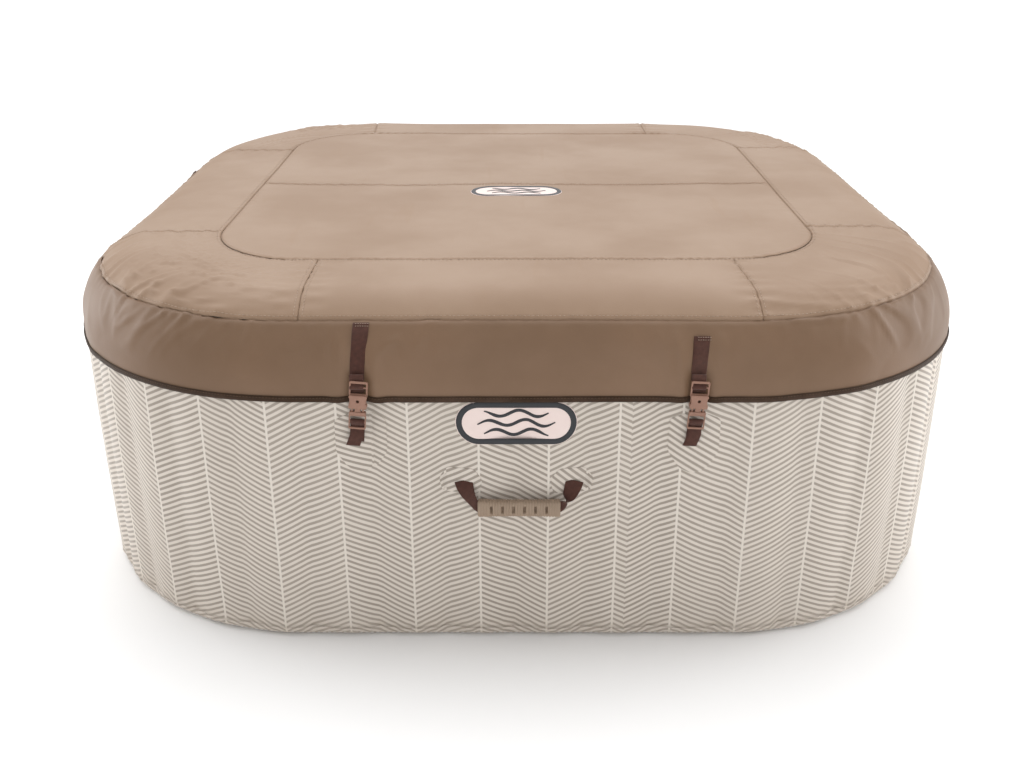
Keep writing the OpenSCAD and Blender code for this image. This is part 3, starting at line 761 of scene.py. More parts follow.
@dataclass(frozen=True)
class Finishes:
    """Every finish of the tub and its cover, built once."""

    print: Material
    patch: Material
    plain: Material
    vinyl: Material
    # The cover's vinyl with painted shade, for the skirt.
    skirt: Material
    pocket: Material
    film: Material
    hem: Material
    webbing: Material
    webs: Material
    tape: Material
    buckle: Material
    grip: Material
    white: Material
    grey: Material
    metal: Material
    thread: Material
    dark_thread: Material
    badge: Material
    badge_dark: Material

    @classmethod
    def build(cls) -> "Finishes":
        """Builds all the materials."""
        return cls(
            print=PrintedLaminate().build("printed_laminate"),
            patch=PrintedLaminate(shift=1.5, seam_at=99.0, column=4.0).build("printed_patch"),
            plain=CoatedSheet("#e6e0d8", "#dad3c9", 0.42, 500.0, 0.0003).build("plain_laminate"),
            vinyl=CoatedSheet("#9c816a", "#927760", 0.47, 430.0, 0.0004, "#ad9681").build("cover_vinyl"),
            # Painted shade: the skirt gets the cover's vinyl made darker, because it faces away from the
            # light.
            skirt=CoatedSheet("#7f634c", "#745a44", 0.46, 430.0, 0.0004, "#987d67").build("skirt_vinyl"),
            pocket=CoatedSheet("#d9d4ca", "#c8c1b5", 0.5, 500.0, 0.0003).build("pocket_sheet"),
            film=CoatedSheet("#e9e8e4", "#dddbd5", 0.3, 600.0, 0.0002).build("cushion_film"),
            hem=Woven("#432a12", "#241405", 0.0018, 0.0013).build("hem_tape"),
            webbing=Woven("#613b30", "#36201a", 0.0017, 0.0012).build("strap_webbing"),
            webs=Woven("#e3e1dc", "#c9c6c0", 0.004, 0.004).build("tension_web"),
            tape=Woven("#4a382c", "#2b1f17", 0.0012, 0.0012).build("zip_tape"),
            buckle=Moulded("#86604f", "#a27b68").build("buckle_plastic"),
            grip=Moulded("#8d7966", "#9f8a76", 0.5, 1100.0).build("grip_plastic"),
            white=Moulded("#e4e3df", "#f0efec", 0.32).build("white_plastic"),
            grey=Moulded("#8f9598", "#abb0b2", 0.4).build("grey_plastic"),
            metal=PlatedMetal().build("zip_metal"),
            thread=Moulded("#a8917e", "#b39d8b", 0.7, 2500.0).build("stitch_thread"),
            dark_thread=Moulded("#4a3420", "#5c4530", 0.7, 2500.0).build("dark_thread"),
            badge=Moulded("#e8d3cc", "#f0dfd9", 0.4, 900.0).build("badge_field"),
            badge_dark=Moulded("#1c1e22", "#2c2e33", 0.4, 900.0).build("badge_line"),
        )


LOOKS = Finishes.build()


# ---- Geometry Nodes ----


def geometry_tree(name: str, inputs: dict[str, tuple[str, object]]) -> tuple[Nodes, object, object]:
    """Starts a Geometry Nodes tree.

    Args:
        name: The tree's name.
        inputs: For each named input, its socket type and default, or None for no default.

    Returns:
        The tree's builder, its input node and its output node.
    """
    tree = bpy.data.node_groups.new(name, "GeometryNodeTree")
    tree.interface.new_socket(name="Geometry", in_out="INPUT", socket_type="NodeSocketGeometry")
    for label, (kind, default) in inputs.items():
        socket = tree.interface.new_socket(name=label, in_out="INPUT", socket_type=kind)
        if default is not None:
            socket.default_value = default
    tree.interface.new_socket(name="Geometry", in_out="OUTPUT", socket_type="NodeSocketGeometry")
    nodes = Nodes(tree)
    return nodes, nodes.add("NodeGroupInput"), nodes.node("NodeGroupOutput")


def close_tree(nodes: Nodes, geometry: object, material: object, end: object) -> NodeTree:
    """Ends a tree in Realize Instances and Set Material."""
    real = nodes.add("GeometryNodeRealizeInstances", {0: geometry})
    dressed = nodes.add("GeometryNodeSetMaterial", {"Geometry": real[0], "Material": material})
    nodes.tree.links.new(dressed[0], end.inputs[0])
    return nodes.tree


def run_tree(piece: Object, tree: NodeTree, **values: object) -> None:
    """Runs a tree on a piece and keeps the result as its plain mesh.

    Args:
        piece: The piece whose mesh the tree reads.
        tree: The tree.
        **values: The tree's inputs by name, with _ for a space.
    """
    modifier = piece.modifiers.new(tree.name, "NODES")
    modifier.node_group = tree
    for item in tree.interface.items_tree:
        key = item.name.replace(" ", "_")
        if item.item_type == "SOCKET" and item.in_out == "INPUT" and key in values:
            modifier[item.identifier] = values[key]
    bake_modifiers(piece)


def build_web_bulge() -> NodeTree:
    """Builds the rule of the inflated wall: it bulges between webs and is held in at each web."""
    inputs = {
        "Pitch": ("NodeSocketFloat", TUB.web_pitch),
        "Depth": ("NodeSocketFloat", 0.005),
        "Belly": ("NodeSocketFloat", 0.003),
        "Top": ("NodeSocketFloat", TUB.shoulder_z),
        "Material": ("NodeSocketMaterial", None),
    }
    n, start, end = geometry_tree("WebBulge", inputs)
    along = n.add("GeometryNodeInputNamedAttribute", {"Name": "along"}, data_type="FLOAT")[0]
    up = n.add("GeometryNodeInputNamedAttribute", {"Name": "height"}, data_type="FLOAT")[0]
    turn = n.times(n.over(along, start["Pitch"]), pi)
    wave = n.math("POWER", n.math("ABSOLUTE", n.math("SINE", turn)), 0.75)
    held = n.times(n.minus(wave, 1.0), start["Depth"])
    share = n.over(up, start["Top"])
    belly = n.times(n.math("SINE", n.times(share, pi)), start["Belly"])
    ripple = n.math("SINE", n.times(turn, 8.0))
    low = n.math("POWER", n.minus(1.0, n.math("MINIMUM", n.times(share, 7.0), 1.0)), 2.0)
    pucker = n.times(n.times(ripple, low), n.times(start["Depth"], 0.28))
    push = n.plus(n.plus(held, belly), pucker)
    normal = n.add("GeometryNodeInputNormal")[0]
    offset = n.add("ShaderNodeVectorMath", {0: normal, "Scale": push}, operation="SCALE")[0]
    moved_ = n.add("GeometryNodeSetPosition", {"Geometry": start[0], "Offset": offset})
    return close_tree(n, moved_[0], start["Material"], end)


def build_row() -> NodeTree:
    """Builds the rule that sets one small shape after another along the edges of a line."""
    inputs = {
        "Shape": ("NodeSocketObject", None),
        "Pitch": ("NodeSocketFloat", 0.008),
        "Material": ("NodeSocketMaterial", None),
    }
    n, start, end = geometry_tree("ShapeRow", inputs)
    line = n.add("GeometryNodeMeshToCurve", {0: start[0]})
    spacing = {"Curve": line[0], "Length": start["Pitch"]}
    even = n.add("GeometryNodeResampleCurve", spacing, mode="LENGTH")
    tangent = n.add("GeometryNodeInputTangent")[0]
    turn = n.add("FunctionNodeAlignRotationToVector", {"Vector": tangent}, axis="X")
    info = n.add("GeometryNodeObjectInfo", {0: start["Shape"]})
    placed = n.add(
        "GeometryNodeInstanceOnPoints",
        {"Points": even[0], "Instance": info["Geometry"], "Rotation": turn[0]},
    )
    return close_tree(n, placed[0], start["Material"], end)


@dataclass(frozen=True)
class Rules:
    """The Geometry Nodes trees, built once."""

    bulge: NodeTree
    row: NodeTree


RULES = Rules(build_web_bulge(), build_row())


def line_mesh(runs: Sequence[Sequence[Vector]]) -> Mesh:
    """Makes a mesh of edges only, one line for each run of points."""
    mesh = bpy.data.meshes.new("line")
    verts, edges = [], []
    for run in runs:
        first = len(verts)
        verts += [tuple(v) for v in run]
        edges += [(first + i, first + i + 1) for i in range(len(run) - 1)]
    mesh.from_pydata(verts, edges, [])
    return mesh


def capsule(length: float, radius: float) -> Object:
    """A small six-sided stitch that lies along x, hidden from the scene."""
    work = bmesh.new()
    bmesh.ops.create_cone(work, cap_ends=True, segments=6, radius1=radius, radius2=radius, depth=length * 0.7)
    tips = [(v.co.z > 0, v) for v in work.verts]
    for top in (False, True):
        cap = [v for is_top, v in tips if is_top == top]
        lid = [f for f in work.faces if all(v in cap for v in f.verts)]
        end = bmesh.ops.extrude_face_region(work, geom=lid)
        for v in (g for g in end["geom"] if isinstance(g, bmesh.types.BMVert)):
            v.co = Vector((v.co.x * 0.45, v.co.y * 0.45, v.co.z + (length * 0.15 if top else -length * 0.15)))
    bmesh.ops.recalc_face_normals(work, faces=work.faces)
    mesh = bpy.data.meshes.new("stitch")
    work.to_mesh(mesh)
    work.free()
    mesh.transform(Matrix.Rotation(pi / 2, 4, "Y"))
    mesh.polygons.foreach_set("use_smooth", [True] * len(mesh.polygons))
    return bpy.data.objects.new("stitch_shape", mesh)


@dataclass
class StitchRows:
    """Rows of stitches along seams, as one piece for each body."""

    thread: Material
    length: float = 0.0052
    pitch: float = 0.0078
    radius: float = 0.00055

    def sew(self, name: str, runs: Sequence[Sequence[Vector]]) -> Object:
        """Sews stitches along runs of points.

        Args:
            name: The piece's name.
            runs: The points of each seam.

        Returns:
            The piece.
        """
        shape = capsule(self.length, self.radius)
        piece = new_piece(name, line_mesh(runs))
        run_tree(piece, RULES.row, Shape=shape, Pitch=self.pitch, Material=self.thread)
        bpy.data.objects.remove(shape)
        return piece


# ---- Tub ----


def web_wave(s: float) -> float:
    """The wall's bulge along the loop: 0 at a web and 1 midway between two."""
    return abs(sin(pi * s * TUB.webs / LOOP.length)) ** 0.75


def loop_places(start: float, end: float, pitch: float) -> list[float]:
    """Places along the loop, close to a pitch apart."""
    return steps(start, end, max(1, round((end - start) / pitch)))


def disc_rows(
    edge_x: float,
    z: float,
    count: int,
    push: Callable[[float, float], float],
    outward: bool,
    columns: int = 240,
) -> tuple[list[list[Vector]], list[Line]]:
    """Rows of a flat rounded-square sheet, from its middle to its edge or back.

    Args:
        edge_x: Where its edge lies, outward from the corner arcs' centre line.
        z: Its height.
        count: Number of rows.
        push: Upward push from x and y.
        outward: True for rows from the middle outward, whose faces look down.
        columns: Number of points in a row.

    Returns:
        The rows and their UV pairs.
    """
    shares = steps(0.0, 1.0, count) if outward else steps(1.0, 0.0, count)
    rows, uvs = [], []
    for share in shares:
        row = []
        for s in steps(-LOOP.length / 2, LOOP.length / 2, columns):
            base, out = LOOP.at(s)
            spot = (base + out * edge_x) * share
            row.append(Vector((spot.x, spot.y, z + push(spot.x, spot.y))))
        rows.append(row)
        uvs.append([(v.x, v.y) for v in row])
    return rows, uvs


@dataclass
class Tub:
    """The inflated tub itself: printed wall, rim, basin and floor."""

    shape: TubShape = TUB
    step: float = 0.0101
    sheet: float = 0.0015
    seam_ridge: float = 0.0012

    def build(self) -> None:
        """Builds and dresses every piece of the tub's shell."""
        self.outer_wall()
        self.base_band()
        self.rim()
        self.inner_wall()
        self.floor()
        self.webs()
        self.bubbles()

    def around(self) -> list[float]:
        """Places all the way round, from the back's middle and back to it."""
        return loop_places(-LOOP.length / 2, LOOP.length / 2, self.step)

    def tag(self, piece: Object) -> None:
        """Stores each point's place along the loop and its height, for the wall's rule."""
        mesh = piece.data
        along = [0.0] * len(mesh.vertices)
        for corner, uv in zip(mesh.loops, mesh.uv_layers["UVMap"].data):
            along[corner.vertex_index] = uv.uv[0]
        mesh.attributes.new("along", "FLOAT", "POINT").data.foreach_set("value", along)
        heights = [v.co.z for v in mesh.vertices]
        mesh.attributes.new("height", "FLOAT", "POINT").data.foreach_set("value", heights)

    def outer_wall(self) -> None:
        """Printed wall, which bulges between its webs."""
        s = self.shape
        section = [(s.corner_r, z) for z in steps(s.base_r, s.shoulder_z, 48)]

        def crumple(along: float, run: float, z: float) -> float:
            """Soft unevenness of the inflated sheet."""
            return 0.0012 * wander(along * 5, z * 4) + 0.0006 * wander(along * 17, z * 9, 4)

        piece = new_piece("printed_wall", sweep(self.around(), section, crumple, s.base_r))
        self.tag(piece)
        pitch = LOOP.length / TUB.webs
        run_tree(piece, RULES.bulge, Pitch=pitch, Depth=s.web_dip, Belly=s.belly, Material=LOOKS.print)
        thicken(piece, self.sheet)
        finish_piece(piece, "tub", LOOKS.print, "printed_laminate", "outer_wall")

    def base_band(self) -> None:
        """Rounded bottom edge, puckered where the wall is welded to the floor."""
        s = self.shape
        section = arc(s.corner_r - s.base_r, s.base_r, s.base_r, -90, 0, 8)

        def pucker(along: float, run: float, z: float) -> float:
            """Gathers that die out towards the ground."""
            lift = smooth(z / s.base_r)
            web = web_wave(along)
            gather = sin(tau * along * TUB.webs * 4 / LOOP.length)
            return lift * (s.web_dip * (web - 1) + 0.0015 * gather + 0.001 * wander(along * 30, z * 60))

        piece = new_piece("base_edge", sweep(self.around(), section, pucker))
        thicken(piece, self.sheet)
        finish_piece(piece, "tub", LOOKS.print, "plain_laminate", "base_band")
        stitch = StitchRows(LOOKS.white, 0.006, 0.0105, 0.0005)
        low = [LOOP.at(a)[0] + LOOP.at(a)[1] * (s.corner_r - 0.004) + UP * 0.0085 for a in self.around()]
        welds = stitch.sew("base_weld_marks", [low])
        finish_piece(welds, "tub", LOOKS.white, "plain_laminate")

    def rim(self) -> None:
        """Rounded top of the air ring, with a welded seam along its crown."""
        s = self.shape
        inner_shoulder = s.rim_z - (s.corner_r - s.inner_r - s.shoulder_r)
        cx = s.corner_r - s.shoulder_r
        inner_radius = s.rim_z - inner_shoulder
        section = arc(cx, s.shoulder_z, s.shoulder_r, 0, 90, 16)
        section += arc(cx, inner_shoulder, inner_radius, 90, 180, 12)[1:]
        crown = s.shoulder_r * pi / 2

        def push(along: float, run: float, z: float) -> float:
            """Dips at each web, and stands up a little along the crown's weld."""
            web = web_wave(along) - 1
            fade = 1 - 0.75 * smooth((z - s.shoulder_z) / (s.rim_z - s.shoulder_z))
            ridge = self.seam_ridge * groove(run - crown, 0.006)
            return 0.004 * web * fade + ridge * 0.5 + 0.0005 * wander(along * 12, run * 12) - 0.0006

        piece = new_piece("rim_shell", sweep(self.around(), section, push))
        thicken(piece, self.sheet)
        finish_piece(piece, "tub", LOOKS.plain, "plain_laminate", "rim_top")

    def inner_wall(self) -> None:
        """Wall of the basin, facing the water."""
        s = self.shape
        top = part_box("inner_wall")[1][2]
        section = [(s.inner_r, z) for z in steps(top, 0.0026, 40)]

        def push(along: float, run: float, z: float) -> float:
            """Bulges into the basin between webs, with a weld line near the foot."""
            web = web_wave(along) - 1
            fade = smooth((z - 0.03) / 0.06) * smooth((top - z) / 0.08)
            return 0.0035 * web * fade - 0.001 * groove(z - 0.05, 0.006)

        piece = new_piece("basin_wall", sweep(self.around(), section, push))
        modify(piece, "SOLIDIFY", thickness=self.sheet, offset=-1.0)
        finish_piece(piece, "tub", LOOKS.plain, "plain_laminate", "inner_wall")

    def floor(self) -> None:
        """Floor sheet, lightly quilted by its welds."""

        def quilt(x: float, y: float) -> float:
            """Shallow squares pressed into the sheet."""
            grid = min(abs(sin(pi * x / 0.12)), abs(sin(pi * y / 0.12)))
            return 0.0009 * smooth(grid / 0.25)

        edge = self.shape.corner_r - self.shape.base_r
        rows, uvs = disc_rows(edge, 0.0016, 90, quilt, outward=False, columns=320)
        piece = new_piece("floor_sheet", weld(grid_mesh(rows, uvs), 1e-6))
        if piece.data.polygons[0].normal.z < 0:
            piece.data.flip_normals()
        thicken(piece, 0.0015)
        finish_piece(piece, "tub", LOOKS.plain, "plain_laminate", "tub_floor")

    def webs(self) -> None:
        """Tension webs inside the air ring, each with round vents."""
        s = self.shape
        low, high = s.base_r + 0.004, s.shoulder_z - 0.002
        inner, outer = s.inner_r + 0.005, s.corner_r - s.web_dip - 0.0025
        rows, uvs = [], []
        for z in steps(low, high, 20):
            bow = 0.004 * sin(pi * (z - low) / (high - low))
            wide = outer - inner
            row = [Vector((x, bow * sin(pi * (x - inner) / wide), z)) for x in steps(inner, outer, 10)]
            rows.append(row)
            uvs.append([(v.x, v.z) for v in row])
        web = grid_mesh(rows, uvs)
        vents = bmesh.new()
        vents.from_mesh(web)
        holes = [f for f in vents.faces if f.index % 10 in (3, 6) and f.index // 10 in (2, 3, 9, 10, 16, 17)]
        bmesh.ops.delete(vents, geom=holes, context="FACES")
        vents.to_mesh(web)
        vents.free()
        meshes = []
        for i in range(TUB.webs):
            base, out = LOOP.at(i * LOOP.length / TUB.webs)
            meshes.append(moved(web, Matrix.Translation(base) @ Matrix.Rotation(atan2(out.y, out.x), 4, "Z")))
        piece = new_piece("web_ribbons", join_meshes(meshes))
        modify(piece, "SOLIDIFY", thickness=0.0012, offset=0.0)
        finish_piece(piece, "tub", LOOKS.webs, "web_fabric", "wall_webs")

    def bubbles(self) -> None:
        """The bubble channel keeps its CAD shape and gets raised rims round its holes."""
        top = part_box("bubble_channel")[1][2]
        middle = self.shape.inner_r - 0.015
        shape = bpy.data.objects.new("rim_shape", ring_mesh(0.0022, 0.0006))
        runs = []
        for side in Side:
            turn = Matrix.Rotation(side.value * pi / 2, 3, "Z")
            xs = (-0.39, 0.39)
            runs.append([turn @ Vector((x, -self.shape.flat - middle, top)) for x in xs])
        piece = new_piece("bubble_hole_rims", line_mesh(runs))
        run_tree(piece, RULES.row, Shape=shape, Pitch=0.06, Material=LOOKS.white)
        bpy.data.objects.remove(shape)
        finish_piece(piece, "tub", LOOKS.white, "plain_laminate")


def ring_mesh(radius: float, tube: float, around: int = 12, section: int = 6) -> Mesh:
    """A small torus that lies flat."""
    verts = []
    for i in range(around):
        a = tau * i / around
        for j in range(section):
            b = tau * j / section
            r = radius + tube * cos(b)
            verts.append(Vector((r * cos(a), r * sin(a), tube * sin(b))))
    faces = []
    for i in range(around):
        here, there = i * section, (i + 1) % around * section
        for j in range(section):
            k = (j + 1) % section
            faces.append((here + j, there + j, there + k, here + k))
    return mesh_from(verts, faces)


# ---- Cover ----


def on_side(side: Side, x: float = 0.0, out: float = 0.0, z: float = 0.0) -> Matrix:
    """Matrix that sets a mesh at a place on a side's wall, with its -y pointing outward."""
    turn = Matrix.Rotation(side.value * pi / 2, 4, "Z")
    return turn @ Matrix.Translation((x, -TUB.half - out, z))


class Strap(Enum):
    """The two straps of each side, with their places along the wall."""

    LEFT = -0.281
    RIGHT = 0.322

    @property
    def label(self) -> str:
        """The strap's name in lower case."""
        return self.name.lower()


STRAP_PLACES = [side.value * LOOP.quarter + strap.value for side in Side for strap in Strap]


def near_strap(s: float, width: float) -> float:
    """How close a place on the loop is to a strap: 1 at its middle and 0 from width away."""
    gaps = ((s - place + LOOP.length / 2) % LOOP.length - LOOP.length / 2 for place in STRAP_PLACES)
    return groove(min(gaps, key=abs), width)


@dataclass(frozen=True)
class CoverShape:
    """Sizes of the cover, in metres."""

    seam_left: float = -0.388
    seam_right: float = 0.442

    edge_r: float = 0.1495
    seam_angle: float = 49.0
    panel_r: float = 0.212
    hem_z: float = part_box("hem_binding")[0][2]
    sheet: float = 0.0016

    @property
    def top(self) -> float:
        """Height of the flat top."""
        return TUB.shoulder_z + self.edge_r

    @property
    def centre(self) -> float:
        """Where the rounded edge's centre lies, outward from the corner arcs' centre line."""
        return TUB.corner_r - TUB.shoulder_r

    @property
    def ring_run(self) -> float:
        """Distance over the rounded edge from the skirt's seam to the flat top."""
        return self.edge_r * radians(90 - self.seam_angle)

    @property
    def seam_z(self) -> float:
        """Height of the skirt's seam."""
        return TUB.shoulder_z + self.edge_r * sin(radians(self.seam_angle))


COVER = CoverShape()


@dataclass(frozen=True)
class Relief:
    """Creases, puckers and slack of the cover's sheet, as outward pushes."""

    seam_depth: float = 0.0016
    pucker: float = 0.0014
    slack: float = 0.0028

    def broad(self, p: Vector) -> float:
        """Slow unevenness that all the panels share, so that they meet at their seams."""
        slow = self.slack * wander(p.x * 2.3, p.y * 2.3, p.z * 2.3)
        return slow + 0.0011 * wander(p.x * 7, p.y * 7, p.z * 7)

    def seam(self, across: float, along: float, salt: float = 0.0) -> float:
        """Dip of a seam, its raised lips and the small puckers that run away from it.

        Args:
            across: Distance from the seam.
            along: Distance along it.
            salt: Shifts the puckers, to keep seams apart.
        """
        dip = -self.seam_depth * groove(across, 0.0036)
        lip = 0.0007 * groove(abs(across) - 0.0085, 0.0065)
        gather = sin(along * 210 + 9 * wander(along * 11, salt) + salt)
        reach = 0.016 + 0.012 * wander(along * 19, salt + 3)
        strength = 0.45 + 0.55 * wander(along * 5.5, salt + 7)
        return dip + lip + self.pucker * strength * gather * groove(abs(across) - 0.005, reach)

    def ridge(self, along: float, across: float, salt: float) -> float:
        """Sharp creases that run mostly along one direction, from 0 to 1."""
        value = wander(along * 3.4, across * 26, salt)
        share = smooth(0.5 + 1.6 * wander(along * 2.1, across * 5, salt + 4))
        return max(0.0, 1 - abs(value) * 4.2) ** 1.4 * share

    def corner_folds(self, s: float, height: float) -> float:
        """Creases that fan out where the sheet turns a corner.

        Args:
            s: Distance along the loop.
            height: 0 at the hem, 0.55 at the skirt's seam and 1 at the middle panel.
        """
        bend = LOOP.bend(s)
        if bend <= 0:
            return 0.0
        turn = ((s + LOOP.flat) % LOOP.quarter - 2 * LOOP.flat) / LOOP.corner
        lean = (0.42 if turn < 0.5 else -0.42) * height
        salt = floor((s + LOOP.flat) / LOOP.quarter) * 3.7
        sharp = self.ridge(s * 0.8 + height * 0.5, height * 0.62 + s * lean, salt)
        fan = self.ridge(height * 0.6, s * 0.72 + height * lean * 0.4, salt + 9)
        roll = wander(s * 4.5, height * 2.2, salt)
        upper = smooth((height - 0.45) / 0.12) * smooth((1.05 - height) / 0.35)
        near = groove(height - 0.52, 0.42)
        return bend * (0.006 * sharp * upper + 0.0056 * fan * near + 0.002 * roll * (0.4 + near) - 0.0016)


RELIEF = Relief()


def panel_gap(x: float, y: float) -> float:
    """Distance inward from the middle panel's outer seam."""
    qx, qy = abs(x) - TUB.flat, abs(y) - TUB.flat
    outside = hypot(max(qx, 0.0), max(qy, 0.0))
    return COVER.panel_r - outside - min(max(qx, qy), 0.0)


def edge_place(x: float, y: float) -> float:
    """Distance along the loop, roughly, of a point on the top."""
    return atan2(x, -y) * LOOP.length / tau


@dataclass(frozen=True)
class CoverSkin:
    """The cover's outer surface: where its sheets lie once slack, seams and straps have moved them."""

    def top_push(self, x: float, y: float) -> float:
        """Upward push of the flat top: its seams, slack and the quilting of the cushion below."""
        gap = panel_gap(x, y)
        inside = smooth((gap - 0.01) / 0.12)
        p = Vector((x, y, COVER.top))
        sag = -0.0035 * inside + 0.004 * inside * cos(pi * x / 0.26) * 0.35
        ripple = 0.0012 * wander(x * 16, y * 5, 8) * inside
        return RELIEF.broad(p) + sag + ripple + RELIEF.seam(gap, edge_place(x, y), 2.0)

    def cloth_push(self, s: float, p: Vector, height: float) -> float:
        """Push that the ring and the skirt share near the skirt's seam."""
        return RELIEF.broad(p) + RELIEF.corner_folds(s, height)

    def ring_push(self, s: float, run: float, ends: tuple[float, float]) -> float:
        """Outward push of the ring.

        Args:
            s: Distance along the loop.
            run: Distance over the ring from the skirt's seam.
            ends: Where this ring piece's end seams lie.
        """
        angle = radians(COVER.seam_angle) + min(run / COVER.edge_r, radians(41))
        flat_run = max(run - COVER.ring_run, 0.0)
        x = COVER.centre + COVER.edge_r * cos(angle) - flat_run
        z = TUB.shoulder_z + COVER.edge_r * sin(angle)
        base, out = LOOP.at(s)
        p = base + out * x + UP * z
        total = COVER.ring_run + COVER.centre - COVER.panel_r
        inner_place = edge_place(p.x, p.y)
        push = self.cloth_push(s, p, 0.55 + 0.45 * run / total)
        push += RELIEF.seam(run, s, 0.0) + RELIEF.seam(total - run, inner_place, 2.0)
        radius = x / TUB.corner_r
        for place in ends:
            inward = abs(s - place) * (radius if self.in_corner(s) else 1.0)
            push += RELIEF.seam(inward, run, 4.0 + place)
            crease = sin(run * 160 + 4 * wander(place, run * 9)) * groove(inward - 0.02, 0.045)
            push += 0.0011 * crease * smooth(run / 0.05)
        return push

    def in_corner(self, s: float) -> bool:
        """Whether a place on the loop is in a corner."""
        return (s + LOOP.flat) % LOOP.quarter > 2 * LOOP.flat

    def skirt_push(self, s: float, run: float, z: float) -> float:
        """Outward push of the skirt: it hangs slack between the straps, which pull it in.

        Args:
            s: Distance along the loop.
            run: Distance up the skirt from its hem.
            z: Height.
        """
        base, out = LOOP.at(s)
        height = (z - COVER.hem_z) / (COVER.seam_z - COVER.hem_z)
        x = COVER.centre + COVER.edge_r
        if z > TUB.shoulder_z:
            x = COVER.centre + sqrt(max(COVER.edge_r**2 - (z - TUB.shoulder_z) ** 2, 0.0))
        p = base + out * x + UP * z
        free = 1 - smooth(height)
        push = self.cloth_push(s, p, 0.55 * height)
        push += RELIEF.seam((1 - height) * 0.152, s, 0.0)
        wave = wander(s * 3.1, 2.0) + 0.5 * wander(s * 8.5, 6.0)
        push += free * (0.0006 + 0.0042 * wave)
        folds = sin(s * 62 + 5 * wander(s * 2.4, 1.0)) * wander(s * 4.7, 9.0)
        push += 0.0024 * folds * smooth(1.25 - height) * (1 - 0.6 * free)
        gathers = RELIEF.ridge(height * 0.5 + s * 0.1, s * 0.8, 21.0) * groove(height - 0.9, 0.5)
        push += 0.0036 * gathers * (0.35 + near_strap(s, 0.25))
        pinch = near_strap(s, 0.036)
        beside = near_strap(s, 0.068) - pinch
        slope = sin(s * 150 + height * 5)
        hold = smooth((1.0 - height) / 0.35)
        push += (-0.0078 * pinch + 0.009 * beside) * (0.35 * free + 0.65 * hold)
        push += 0.0016 * slope * near_strap(s, 0.1) * (1 - pinch) * smooth((1 - height) / 0.3)
        bend = LOOP.bend(s)
        push += bend * free * (0.0018 * sin(s * 33) - 0.0035)
        lowest = groove(run, 0.013)
        return max(push, -0.003 - 0.0025 * smooth(height)) + 0.0008 * lowest

    def ring_point(self, s: float, run: float, ends: tuple[float, float]) -> Vector:
        """A point on the ring's outer face."""
        angle = radians(COVER.seam_angle) + min(run / COVER.edge_r, radians(41))
        flat_run = max(run - COVER.ring_run, 0.0)
        push = self.ring_push(s, run, ends) + 0.0001
        x = COVER.centre + (COVER.edge_r + push) * cos(angle) - flat_run
        z = TUB.shoulder_z + (COVER.edge_r + push) * sin(angle)
        base, out = LOOP.at(s)
        return base + out * x + UP * z


SKIN = CoverSkin()


